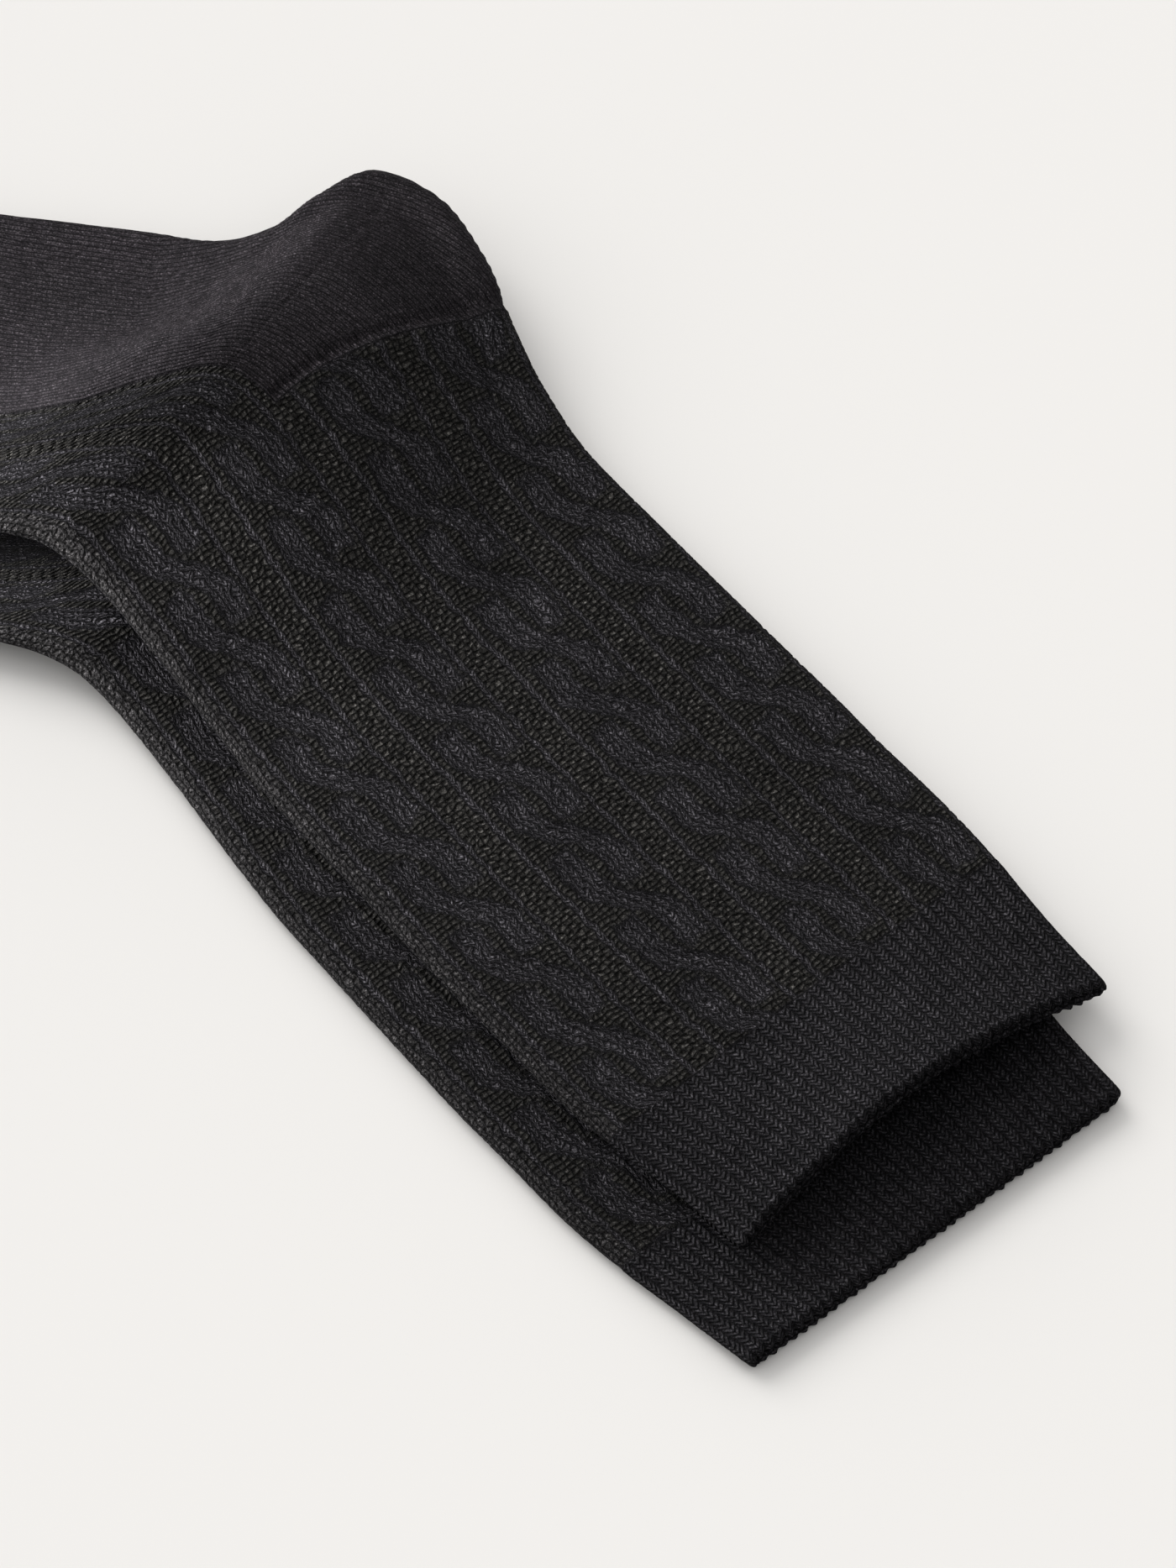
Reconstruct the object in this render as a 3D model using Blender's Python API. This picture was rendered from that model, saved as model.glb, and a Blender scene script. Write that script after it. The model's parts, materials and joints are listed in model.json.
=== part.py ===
"""A pair of knitted crew socks, each laid flat on its side, the upper one resting on the lower one.

Each sock is one closed wall: a flattened tube with an open cuff and a closed toe. The tube is drawn from
sections that run from the front fold over the side line to the back fold. The ankles are not pressed flat:
they stand up from the table as a soft hump between the leg and the foot.
"""
import math
from dataclasses import dataclass

import bpy
import numpy as np

# Sizes in millimetres, turned into metres when the points are written
MM = 0.001
WALL = 1.2
FOLD_REACH = 8.0
LIP = 0.4
LOWER_SHIFT = (1.8, -19.2)
UPPER_SHIFT = (0.0, 0.0)
CLOTH_COLOUR = (0.018, 0.018, 0.019)
CLOTH_ROUGHNESS = 0.95

# The knitted pattern: repeats across one side of the sock, places within a repeat, heights in millimetres
KNIT_REPEATS = 4
REPEATS_ACROSS = 3.67
SIDE_REPEAT = 2.03
INSTEP_REPEATS = 2
PRESSED_REPEATS = 0.95
ZONE_FADE = 0.12
CABLE_PERIOD = 17.4
CABLE_START = 0.6
CABLE_HEIGHT = 0.75
CABLE_SINK = 0.6
CABLE_LEAN = 0.15
STRAND_LOW = 0.33
STRAND_HIGH = 0.63
SLIT_PLACE = 0.48
STRAND_WIDTH = 0.14
WALE_PLACE = 0.15
WALE_WIDTH = 0.07
WALE_HEIGHT = 0.5
SEED_WIDTH = 0.12
SEED_HEIGHT = 0.3
RELIEF_FADE = 3.0

# How finely the faces are drawn, the lower sock's more plainly where the upper one covers it
SAMPLES = 65
PATTERN_PARTS = (0.0, 0.08, 0.15, 0.22, 0.33, 0.48, 0.63, 0.78, 0.85, 0.92)
UNDER_TURNS = (45.0, 90.0)
INNER_TURNS = (90.0,)
INNER_EVERY = 3
TIP_CLEAR = 1.0
COLUMN_GAP = 0.3

# Where the socks lie, seen from above: the two folds and the side line between them
PLAN = (
    # section, front fold x, y, side line x, y, back fold x, y, fine steps to the next section
    ("cuff edge", 24.0, -101.2, 57.4, -73.8, 89.4, -47.4, 3),
    ("cuff middle", 13.1, -91.5, 48.2, -61.6, 80.4, -34.4, 3),
    ("band end", 1.9, -81.5, 39.0, -48.8, 72.4, -21.4, 9),
    ("leg low", -19.7, -57.5, 17.5, -22.0, 50.4, 7.4, 10),
    ("leg middle", -41.6, -30.4, -4.0, 4.8, 29.8, 33.6, 8),
    ("leg high", -59.2, -7.6, -22.7, 27.3, 11.6, 56.8, 5),
    ("hump foot", -71.5, 10.1, -36.0, 42.3, 0.2, 71.2, 5),
    ("ankle", -83.4, 26.9, -49.7, 57.5, -8.2, 85.8, 6),
    ("heel start", -91.3, 36.2, -61.4, 70.4, -15.0, 101.5, 3),
    ("heel back", -94.0, 38.8, -63.6, 72.8, -19.4, 113.5, 3),
    ("heel round", -96.0, 40.6, -65.6, 74.6, -27.6, 127.5, 3),
    ("heel point", -97.8, 42.0, -67.8, 76.0, -40.2, 135.0, 3),
    ("heel under", -99.6, 43.2, -70.4, 77.4, -51.5, 130.0, 3),
    ("sole start", -101.6, 44.2, -74.2, 78.9, -60.8, 123.6, 2),
    ("instep", -104.2, 45.0, -80.4, 80.4, -69.5, 122.8, 3),
    ("foot high", -108.0, 46.0, -90.4, 81.4, -82.5, 126.0, 6),
    ("foot low", -117.5, 49.0, -109.8, 83.0, -112.0, 131.0, 7),
    ("foot middle", -139.5, 54.0, -137.0, 90.0, -141.0, 135.5, 7),
    ("foot fore", -168.0, 58.5, -169.0, 96.0, -172.0, 139.5, 7),
    ("ball", -196.0, 61.0, -199.0, 99.5, -201.5, 141.0, 5),
    ("toe start", -218.5, 65.0, -223.0, 102.5, -225.5, 139.5, 3),
    ("toe taper", -234.5, 71.0, -239.0, 104.5, -241.0, 136.0, 3),
    ("toe round", -245.5, 80.5, -248.8, 106.0, -249.8, 130.0, 2),
    ("toe tip", -251.5, 93.0, -253.2, 107.0, -253.0, 121.0, 0),
)

# How high the underside of each sock lies, from the front fold over the side line to the back fold, how far
# its two layers stand apart in the middle, and the radius of its folds
LIE_UPPER = (
    # section, front fold, front quarter, side line, back quarter, back fold, layers apart, fold radius,
    # middle pulled back
    ("cuff edge", 4.2, 7.2, 9.0, 7.2, 4.3, 2.6, 2.5, 4.0),
    ("cuff middle", 4.2, 5.8, 6.8, 5.8, 4.3, 1.4, 2.1, 2.0),
    ("band end", 4.2, 4.6, 4.9, 4.7, 4.3, 0.6, 1.9, 0.0),
    ("leg low", 4.2, 4.3, 4.0, 4.1, 4.3, 0.4, 1.9, 0.0),
    ("leg middle", 4.2, 4.2, 3.8, 4.0, 4.3, 0.4, 1.9, 0.0),
    ("leg high", 4.3, 4.4, 4.5, 4.4, 4.4, 0.4, 1.9, 0.0),
    ("hump foot", 5.2, 6.3, 7.4, 6.2, 4.8, 0.5, 1.9, 0.0),
    ("ankle", 8.4, 11.6, 13.4, 11.2, 6.6, 0.8, 2.1, 0.0),
    ("heel start", 11.2, 15.0, 19.4, 18.0, 9.2, 1.2, 2.6, 0.0),
    ("heel back", 11.8, 16.0, 20.9, 19.0, 9.6, 1.4, 3.0, 0.0),
    ("heel round", 12.2, 16.8, 21.8, 19.6, 9.6, 1.6, 3.1, 0.0),
    ("heel point", 12.6, 17.6, 22.6, 19.8, 9.4, 1.6, 3.1, 0.0),
    ("heel under", 13.0, 18.4, 23.0, 18.8, 8.2, 1.4, 2.8, 0.0),
    ("sole start", 13.3, 19.4, 22.8, 15.8, 6.4, 1.2, 2.4, 0.0),
    ("instep", 13.5, 20.4, 21.4, 11.2, 4.6, 0.8, 2.1, 0.0),
    ("foot high", 13.4, 19.2, 16.4, 6.4, 3.4, 0.5, 1.9, 0.0),
    ("foot low", 10.4, 12.2, 8.4, 4.8, 3.0, 0.4, 1.9, 0.0),
    ("foot middle", 6.6, 6.0, 4.9, 4.5, 3.0, 0.4, 1.9, 0.0),
    ("foot fore", 4.6, 4.3, 4.2, 4.4, 2.8, 0.4, 1.9, 0.0),
    ("ball", 4.2, 4.2, 4.2, 4.4, 2.8, 0.4, 1.9, 0.0),
    ("toe start", 4.2, 4.2, 4.2, 4.4, 2.8, 0.5, 1.9, 0.0),
    ("toe taper", 4.2, 4.3, 4.3, 4.4, 3.0, 0.5, 1.9, 0.0),
    ("toe round", 4.2, 4.3, 4.3, 4.3, 2.8, 0.4, 1.9, 0.0),
    ("toe tip", 4.2, 4.3, 4.3, 4.3, 3.4, 0.4, 1.9, 0.0),
)
LIE_LOWER = (
    # section, front fold, front quarter, side line, back quarter, back fold, layers apart, fold radius,
    # middle pulled back
    ("cuff edge", 0.0, 0.0, 0.0, 0.0, 0.0, 2.4, 2.5, 0.0),
    ("cuff middle", 0.0, 0.0, 0.0, 0.0, 0.0, 0.8, 1.95, 0.0),
    ("band end", 0.0, 0.0, 0.0, 0.0, 0.0, 0.4, 1.9, 0.0),
    ("leg low", 0.0, 0.0, 0.0, 0.0, 0.0, 0.4, 1.9, 0.0),
    ("leg middle", 0.0, 0.0, 0.0, 0.0, 0.0, 0.4, 1.9, 0.0),
    ("leg high", 0.0, 0.0, 0.0, 0.0, 0.0, 0.4, 1.9, 0.0),
    ("hump foot", 0.0, 0.0, 0.2, 0.0, 0.0, 0.4, 1.9, 0.0),
    ("ankle", 0.4, 0.8, 1.8, 1.4, 0.2, 0.5, 1.9, 0.0),
    ("heel start", 1.8, 4.0, 7.6, 7.2, 2.6, 0.8, 2.2, 0.0),
    ("heel back", 2.7, 4.8, 8.8, 8.4, 3.8, 0.9, 2.4, 0.0),
    ("heel round", 3.4, 5.2, 9.4, 9.0, 4.2, 1.0, 2.5, 0.0),
    ("heel point", 3.9, 5.6, 9.8, 9.4, 4.2, 1.0, 2.5, 0.0),
    ("heel under", 4.4, 6.0, 9.8, 8.8, 3.6, 0.9, 2.3, 0.0),
    ("sole start", 4.8, 6.2, 9.2, 6.8, 2.2, 0.7, 2.1, 0.0),
    ("instep", 5.0, 6.2, 7.6, 3.8, 0.8, 0.5, 1.9, 0.0),
    ("foot high", 5.4, 5.4, 3.2, 0.4, 0.0, 0.4, 1.9, 0.0),
    ("foot low", 4.0, 2.0, 0.4, 0.0, 0.0, 0.4, 1.9, 0.0),
    ("foot middle", 1.4, 0.3, 0.0, 0.0, 0.0, 0.4, 1.9, 0.0),
    ("foot fore", 0.0, 0.0, 0.0, 0.0, 0.0, 0.4, 1.9, 0.0),
    ("ball", 0.0, 0.0, 0.0, 0.0, 0.0, 0.4, 1.9, 0.0),
    ("toe start", 0.0, 0.0, 0.0, 0.0, 0.0, 0.5, 1.9, 0.0),
    ("toe taper", 0.0, 0.0, 0.0, 0.0, 0.0, 0.5, 1.9, 0.0),
    ("toe round", 0.0, 0.0, 0.0, 0.0, 0.0, 0.4, 1.9, 0.0),
    ("toe tip", 0.0, 0.0, 0.0, 0.0, 0.0, 0.4, 1.9, 0.0),
)
QUARTERS = (0.0, 0.25, 0.5, 0.75, 1.0)
APART, RADIUS, PULLED = 5, 6, 7
SECTION = {row[0]: index for index, row in enumerate(PLAN)}


@dataclass(frozen=True)
class Detail:
    """How finely one sock is drawn."""

    over_turns: tuple
    plain_columns: int
    under_columns: int
    foot_step: int
    pattern_end: float


UPPER_DETAIL = Detail((30.0, 60.0, 90.0), 12, 5, 1, KNIT_REPEATS)
LOWER_DETAIL = Detail((45.0, 90.0), 7, 3, 2, PRESSED_REPEATS)


def eased(share):
    """Soft step from 0 to 1."""
    share = np.clip(share, 0.0, 1.0)
    return share * share * (3.0 - 2.0 * share)


def bump(place, centre, width):
    """Rounded ridge of height 1 about a centre."""
    return np.cos(np.clip((place - centre) / width, -1.0, 1.0) * 0.5 * math.pi) ** 2


def curve_through(knots, values, at, level):
    """Cubic curve through a table's values. A level curve stays between neighbouring values."""
    knots = np.asarray(knots, float)
    width = np.diff(knots)[:, None]
    rise = np.diff(values, axis=0) / width
    before = rise[:-1]
    after = rise[1:]
    share = width[:-1] / (width[:-1] + width[1:])
    inner = before * (1.0 - share) + after * share
    if level:
        same = before * after > 0.0
        inner = np.where(same, 2.0 * before * after / np.where(same, before + after, 1.0), 0.0)
    slope = np.vstack([rise[:1], inner, rise[-1:]])
    place = np.clip(np.searchsorted(knots, at, side="right") - 1, 0, len(knots) - 2)
    span = width[place]
    share = (at - knots[place])[:, None] / span
    start = (1.0 + 2.0 * share) * (1.0 - share) ** 2 * values[place]
    end = share ** 2 * (3.0 - 2.0 * share) * values[place + 1]
    leave = share * (1.0 - share) ** 2 * span * slope[place]
    arrive = share ** 2 * (share - 1.0) * span * slope[place + 1]
    return start + end + leave + arrive


def repeat_at(share):
    """Number of pattern repeats from the middle of the front of the sock to a share across."""
    return SIDE_REPEAT + REPEATS_ACROSS * (share - 0.5)


def share_at(repeat):
    """Share across at a number of pattern repeats."""
    return 0.5 + (repeat - SIDE_REPEAT) / REPEATS_ACROSS


class Sock:
    """Form of one sock. Rows run from cuff edge to toe tip, shares from front fold to back fold."""

    def __init__(self, lie, shift, detail):
        self.knots = np.concatenate([[0.0], np.cumsum([row[7] for row in PLAN[:-1]])])
        self.plan = np.array([row[1:7] for row in PLAN])
        self.lie = np.array([row[1:] for row in lie])
        self.shift = np.array(shift)
        self.detail = detail
        way = self.plan[SECTION["leg high"], 2:4] - self.plan[SECTION["band end"], 2:4]
        self.leg_way = way / np.hypot(*way)
        self.rows = np.arange(self.knots[-1] + 1.0)
        side = self.places(self.rows, np.full(len(self.rows), 0.5))
        quarter = self.places(self.rows, np.full(len(self.rows), 0.25))
        steps = np.hypot(*np.diff(side, axis=0).T)
        self.to_tip = np.concatenate([np.cumsum(steps[::-1])[::-1], [0.0]])
        self.along = np.concatenate([[0.0], np.cumsum(np.hypot(*np.diff(quarter, axis=0).T))])

    def run_at(self, name):
        """Distance along the cloth from the cuff edge to a named section."""
        return self.along[int(self.knots[SECTION[name]])]

    def row_before_tip(self, distance):
        """Row at a distance before the toe tip."""
        return float(np.interp(distance, self.to_tip[::-1], self.rows[::-1]))

    def places(self, row, share):
        """Places on the table, seen from above."""
        folds = curve_through(self.knots, self.plan, row, False)
        pull = curve_through(self.knots, self.lie, row, True)[:, PULLED, None]
        share = share[:, None]
        middle = 4.0 * share * (1.0 - share)
        front = folds[:, 0:2] * (1.0 - share) * (1.0 - 2.0 * share)
        back = folds[:, 4:6] * share * (2.0 * share - 1.0)
        return front + folds[:, 2:4] * middle + back + pull * middle * self.leg_way + self.shift

    def section_run(self, row):
        """Shares across one section and the run from its front fold to each."""
        share = np.linspace(0.0, 1.0, SAMPLES)
        line = self.places(np.full(SAMPLES, float(row)), share)
        return share, np.concatenate([[0.0], np.cumsum(np.hypot(*np.diff(line, axis=0).T))])

    def faces(self, row, share, inset):
        """Places, under heights and over heights of one section, set in from the cloth's face by inset."""
        lie = curve_through(self.knots, self.lie, np.array([float(row)]), True)[0]
        base = curve_through(QUARTERS, lie[:len(QUARTERS), None], share, True)[:, 0]
        apart = lie[APART]
        radius = lie[RADIUS]
        fine, run = self.section_run(row)
        here = np.interp(share, fine, run)
        tip = float(np.interp(row, self.rows, self.to_tip))
        distance = np.minimum(np.minimum(here, run[-1] - here), tip)
        turn = radius - inset
        turned = np.clip((distance - inset) / turn, 0.0, 1.0)
        half = turn * np.sqrt(1.0 - (1.0 - turned) ** 2)
        thick = 2.0 * radius + (2.0 * WALL + apart - 2.0 * radius) * eased((distance - radius) / FOLD_REACH)
        over = np.where(distance < radius, radius + half, thick - inset)
        return self.places(np.full(len(share), float(row)), share), base + radius - half, base + over

    def relief(self, row, share):
        """How far the knitted pattern stands out of the over face."""
        repeat = repeat_at(share)
        run = float(np.interp(row, self.rows, self.along))
        fine, across = self.section_run(row)
        here = np.interp(share, fine, across)
        edge = eased(np.minimum(here, across[-1] - here) / RELIEF_FADE)
        inside = eased((run - self.run_at("band end")) / RELIEF_FADE)
        inside = inside * eased((self.run_at("toe start") - run) / RELIEF_FADE)
        on_leg = eased((self.run_at("heel start") - run) / RELIEF_FADE)
        on_instep = eased((INSTEP_REPEATS - repeat) / ZONE_FADE)
        pressed = eased((self.detail.pattern_end - repeat) / ZONE_FADE)
        part = repeat - np.floor(repeat)
        turn = 2.0 * math.pi * (run - self.run_at("band end") - CABLE_START) / CABLE_PERIOD
        cross = max(0.0, math.cos(turn)) ** 2
        strands = bump(part, STRAND_LOW, STRAND_WIDTH) + bump(part, STRAND_HIGH, STRAND_WIDTH)
        crossing = bump(part, SLIT_PLACE - CABLE_LEAN * math.sin(turn), STRAND_WIDTH)
        cable = np.maximum(strands * (1.0 - CABLE_SINK * cross), crossing * cross) * CABLE_HEIGHT
        wales = (bump(part, WALE_PLACE, WALE_WIDTH) + bump(part, 1.0 - WALE_PLACE, WALE_WIDTH)) * WALE_HEIGHT
        seeds = (bump(part, 0.0, SEED_WIDTH) + bump(part, 1.0, SEED_WIDTH)) * SEED_HEIGHT
        return np.maximum(cable, wales + seeds) * edge * inside * np.maximum(on_leg, on_instep) * pressed

    def fold_shares(self, row, inset, turns):
        """Shares near the front fold and near the back fold where the faces turn."""
        radius = curve_through(self.knots, self.lie, np.array([float(row)]), True)[0, RADIUS]
        turned = [inset + (radius - inset) * (1.0 - math.cos(math.radians(turn))) for turn in turns]
        distances = np.array([inset] + turned + [radius + 0.5 * FOLD_REACH])
        fine, run = self.section_run(row)
        front = np.interp(distances, run, fine)
        back = np.interp(run[-1] - distances, run, fine)
        return front, back[::-1]


class Shell:
    """Points and triangles of one closed wall."""

    def __init__(self):
        self.points = []
        self.faces = []

    def add(self, places, heights):
        """Adds a line of points and returns their numbers."""
        first = len(self.points)
        self.points.extend((x, y, z) for (x, y), z in zip(places, heights))
        return list(range(first, len(self.points)))

    def bridge(self, first, last, outward):
        """Joins two lines of numbered points by triangles, each line with its shares across."""
        first_line, first_share = first
        last_line, last_share = last
        i = 0
        j = 0
        while i < len(first_line) - 1 or j < len(last_line) - 1:
            last_done = j == len(last_line) - 1
            first_done = i == len(first_line) - 1
            if last_done or (not first_done and first_share[i + 1] <= last_share[j + 1]):
                face = (first_line[i], first_line[i + 1], last_line[j])
                i += 1
            else:
                face = (first_line[i], last_line[j + 1], last_line[j])
                j += 1
            if len(set(face)) == 3:
                self.faces.append(face if outward else face[::-1])

    def bridge_rings(self, first, last, outward):
        """Joins two rings, each made of an over line and an under line."""
        self.bridge(first[0], last[0], outward)
        self.bridge(first[1], last[1], not outward)


def between(shares, front, back):
    """The shares that lie between the two turned edges."""
    return [share for share in shares if front[-1] < share < back[0]]


def even_shares(count):
    """Evenly spaced shares between the two folds."""
    return [(k + 1.0) / (count + 1.0) for k in range(count)]


def over_shares(sock, run):
    """Shares of the over face's columns: close under the pattern, wide apart on plain cloth."""
    plain = even_shares(sock.detail.plain_columns)
    if not sock.run_at("band end") < run < sock.run_at("toe start"):
        return plain
    on_leg = run < sock.run_at("heel start")
    last = min(sock.detail.pattern_end, KNIT_REPEATS if on_leg else INSTEP_REPEATS)
    repeats = [whole + part for whole in range(KNIT_REPEATS) for part in PATTERN_PARTS]
    fine = [share_at(repeat) for repeat in repeats if repeat <= last]
    return fine + [share for share in plain if share > fine[-1] + COLUMN_GAP * plain[0]]


def ring(sock, shell, row, inset, over_share, under_share, out):
    """Adds one ring of points round the tube and returns its over line and under line."""
    over_share = np.array(over_share)
    under_share = np.array(under_share)
    places, _, over = sock.faces(row, over_share, inset)
    if inset == 0.0:
        over = over + sock.relief(row, over_share)
    top = shell.add(places - out * sock.leg_way, over)
    places, under, _ = sock.faces(row, under_share, inset)
    low = shell.add((places - out * sock.leg_way)[1:-1], under[1:-1])
    return (top, over_share), ([top[0]] + low + [top[-1]], under_share)


def outer_ring(sock, shell, row):
    """One ring of the outer face."""
    run = float(np.interp(row, sock.rows, sock.along))
    front, back = sock.fold_shares(row, 0.0, sock.detail.over_turns)
    over = [*front, *between(over_shares(sock, run), front, back), *back]
    front, back = sock.fold_shares(row, 0.0, UNDER_TURNS)
    under = [*front, *between(even_shares(sock.detail.under_columns), front, back), *back]
    return ring(sock, shell, row, 0.0, over, under, 0.0)


def inner_ring(sock, shell, row, inset, out):
    """One ring of the inner face, or of the lip half way through the wall."""
    front, back = sock.fold_shares(row, inset, INNER_TURNS)
    shares = [*front, *between(even_shares(sock.detail.under_columns), front, back), *back]
    return ring(sock, shell, row, inset, shares, shares, out)


def closed_ring(line):
    """Ring whose under line is its over line, where the toe is shut."""
    return line, line


def tip_rows(sock, inset, turns):
    """Rows near the toe tip where the faces turn, the last one at the shut edge."""
    radius = sock.lie[-1, RADIUS]
    steps = [inset + (radius - inset) * (1.0 - math.cos(math.radians(turn))) for turn in turns]
    return [sock.row_before_tip(step) for step in steps[::-1]] + [sock.row_before_tip(inset)]


def sock_shell(sock):
    """The whole wall of one sock: outer face, inner face and the lip that joins them at the cuff."""
    shell = Shell()
    clear = sock.row_before_tip(sock.lie[-1, RADIUS] + TIP_CLEAR)
    foot = [sock.knots[SECTION[name]] for name in ("heel start", "toe start")]
    rows = [row for row in sock.rows if row < clear]
    rows = [row for row in rows if not foot[0] < row < foot[1] or row % sock.detail.foot_step == 0.0]
    rows = rows + tip_rows(sock, 0.0, sock.detail.over_turns)
    outer = [outer_ring(sock, shell, row) for row in rows]
    outer[-1] = closed_ring(outer[-1][0])
    for first, last in zip(outer, outer[1:]):
        shell.bridge_rings(first, last, True)
    rows = [row for row in sock.rows[::INNER_EVERY] if row < clear - TIP_CLEAR]
    rows = rows + tip_rows(sock, WALL, INNER_TURNS)
    inner = [inner_ring(sock, shell, row, WALL, 0.0) for row in rows]
    inner[-1] = closed_ring(inner[-1][0])
    for first, last in zip(inner, inner[1:]):
        shell.bridge_rings(first, last, False)
    lip = inner_ring(sock, shell, 0.0, 0.5 * WALL, LIP)
    shell.bridge_rings(lip, outer[0], True)
    shell.bridge_rings(lip, inner[0], False)
    return shell


def used_points(shell):
    """Points that a triangle uses, and the triangles renumbered to them."""
    used = sorted({number for face in shell.faces for number in face})
    place = {number: index for index, number in enumerate(used)}
    faces = [tuple(place[number] for number in face) for face in shell.faces]
    return np.array([shell.points[number] for number in used]), faces


def add_object(name, points, faces, colour):
    """Makes one smooth-shaded object with a material of its own."""
    mesh = bpy.data.meshes.new(name)
    mesh.from_pydata([tuple(point) for point in points], [], faces)
    mesh.polygons.foreach_set("use_smooth", [True] * len(mesh.polygons))
    mesh.update()
    material = bpy.data.materials.new(name)
    material.use_nodes = True
    surface = material.node_tree.nodes["Principled BSDF"]
    surface.inputs["Base Color"].default_value = (*colour, 1.0)
    surface.inputs["Roughness"].default_value = CLOTH_ROUGHNESS
    mesh.materials.append(material)
    bpy.context.scene.collection.objects.link(bpy.data.objects.new(name, mesh))


def build():
    """Builds both socks with the origin under the middle of the pair, on the table."""
    for old in list(bpy.data.objects):
        bpy.data.objects.remove(old, do_unlink=True)
    upper = used_points(sock_shell(Sock(LIE_UPPER, UPPER_SHIFT, UPPER_DETAIL)))
    lower = used_points(sock_shell(Sock(LIE_LOWER, LOWER_SHIFT, LOWER_DETAIL)))
    both = np.vstack([upper[0], lower[0]])
    middle = 0.5 * (both.min(axis=0) + both.max(axis=0))
    origin = np.array([middle[0], middle[1], both[:, 2].min()])
    add_object("sock_upper", (upper[0] - origin) * MM, upper[1], CLOTH_COLOUR)
    add_object("sock_lower", (lower[0] - origin) * MM, lower[1], CLOTH_COLOUR)


build()
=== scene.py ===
"""Dressed scene of a pair of knitted crew socks, each laid flat on its side, the upper one on the lower one.

Each sock is drawn as the thin cloth that it is: a tube of knitting that follows the sock's solid, with its
cables, moss-stitch ribs, plain heel and sole, ribbed cuff band and the turned edge at the cuff.
"""
import json
import logging
import math
from dataclasses import dataclass, field
from enum import Enum

import bpy
import numpy as np
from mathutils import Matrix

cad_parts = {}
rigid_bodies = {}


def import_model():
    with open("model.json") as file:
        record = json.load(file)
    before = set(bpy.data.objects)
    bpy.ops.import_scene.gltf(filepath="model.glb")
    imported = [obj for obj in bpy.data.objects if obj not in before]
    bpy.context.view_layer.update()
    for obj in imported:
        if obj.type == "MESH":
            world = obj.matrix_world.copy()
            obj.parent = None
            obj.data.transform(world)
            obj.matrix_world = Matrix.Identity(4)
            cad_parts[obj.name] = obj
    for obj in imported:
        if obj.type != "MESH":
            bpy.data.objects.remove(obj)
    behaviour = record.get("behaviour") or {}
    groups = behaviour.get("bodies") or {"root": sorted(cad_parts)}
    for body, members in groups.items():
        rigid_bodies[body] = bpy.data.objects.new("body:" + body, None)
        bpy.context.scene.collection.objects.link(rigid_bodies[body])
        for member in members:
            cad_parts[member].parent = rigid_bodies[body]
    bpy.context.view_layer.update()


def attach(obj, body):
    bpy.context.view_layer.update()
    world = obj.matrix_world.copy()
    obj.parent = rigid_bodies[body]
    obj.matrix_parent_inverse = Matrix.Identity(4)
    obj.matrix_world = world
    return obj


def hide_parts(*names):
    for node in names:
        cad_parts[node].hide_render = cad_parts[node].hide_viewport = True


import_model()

LOG = logging.getLogger("socks")

# Lengths are in millimetres unless a comment says otherwise. The socks are laid out in a plan of their own, seen
# from above, and ORIGIN is the place in it of the part's own origin.
MM = 0.001
ORIGIN = (-81.0739645, 10.31399417)
# Cloth: its thickness, the usual radius of a fold, and how far in from a fold the two layers are rounded off
WALL = 1.2
FOLD_RADIUS = 1.9
FOLD_REACH = 8.0
# Distance from the toe tip at which the toe starts to round off
TOE_ROUND = 2.2
# Cuff: depth of the band, its rolled edge with small bumps that change over EDGE_WANDER wales, and how deep
# inside the rings of the lining lie
BAND = 27.5
LIP = 1.0
LIP_TURNS = tuple(range(160, 0, -20))
ROLL = 2.25
ROLL_LENGTH = 6.0
EDGE_BUMP = 0.5
EDGE_WANDER = 1.7
INSIDE = (27.0, 21.0, 15.0, 10.0, 7.0, 5.0, 3.5, 2.2, 1.2, 0.5, 0.0)
# Rows: small steps to a row where lengths are measured, and rows between the rings of a coarse grid
SMALL_STEPS = 8
GRID = 0.5
# Points read across one section, and the shares across at which the height of its underside is given
SAMPLES = 65
QUARTERS = (0.0, 0.25, 0.5, 0.75, 1.0)
# Knitting: pitch of the leg's wales, courses by which the legs of a stitch lean, and the round counted in wales
WALE = 1.25
LEG_LEAN = 2.1
INSTEP_EDGE = 36.0
REPEAT_WALES = 18
WALES_ROUND = 144
# Columns on the over side, in wales: the first, the last and the last that shows on the lower sock, with the fine
# and the coarse spacing, and the count below where the rolled edge goes round
FIRST_WALE = 1.0
LAST_WALE = 69.0
SEEN_WALE = 26.0
FINE = 0.26
COARSE = 2.0
FINE_UNDER = 224
# Flat sizes in metres: girth of the tube, and length of each part along the cloth
GIRTH = 0.185
PART_LENGTHS = {
    "cuff_edge": 0.034,
    "cuff": 0.029,
    "leg_low": 0.080,
    "leg_high": 0.080,
    "heel": 0.040,
    "foot": 0.135,
    "toe": 0.024,
}
# How far the front fold is drawn in at each section, from the cuff edge on, and how far the lower sock is shifted
UPPER_DRAWN = (1.2, 2.2, 2.0, 2.2, 2.2, 1.9, 1.4, 1.4, 0.7)
LOWER_SHIFT = (1.8, -19.2)
LOWER_DRAWN = (0.0, 0.0, 0.0, 0.0, 0.0, 0.0, 0.5, 1.4, 1.5, 1.5, 1.0)


class Layer(Enum):
    """The two socks of the pair, by the name of the solid that each stands for."""

    UPPER = "sock_upper"
    LOWER = "sock_lower"


class Stitch(Enum):
    """How a column of stitches is knitted."""

    KNIT = "knit"
    PURL = "purl"
    MOSS = "moss"
    STRAND = "strand"


@dataclass(frozen=True)
class Section:
    """Where one section of a sock lies, seen from above, and how many steps lead to the next one."""

    name: str
    front: tuple[float, float]
    side: tuple[float, float]
    back: tuple[float, float]
    steps: int


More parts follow.
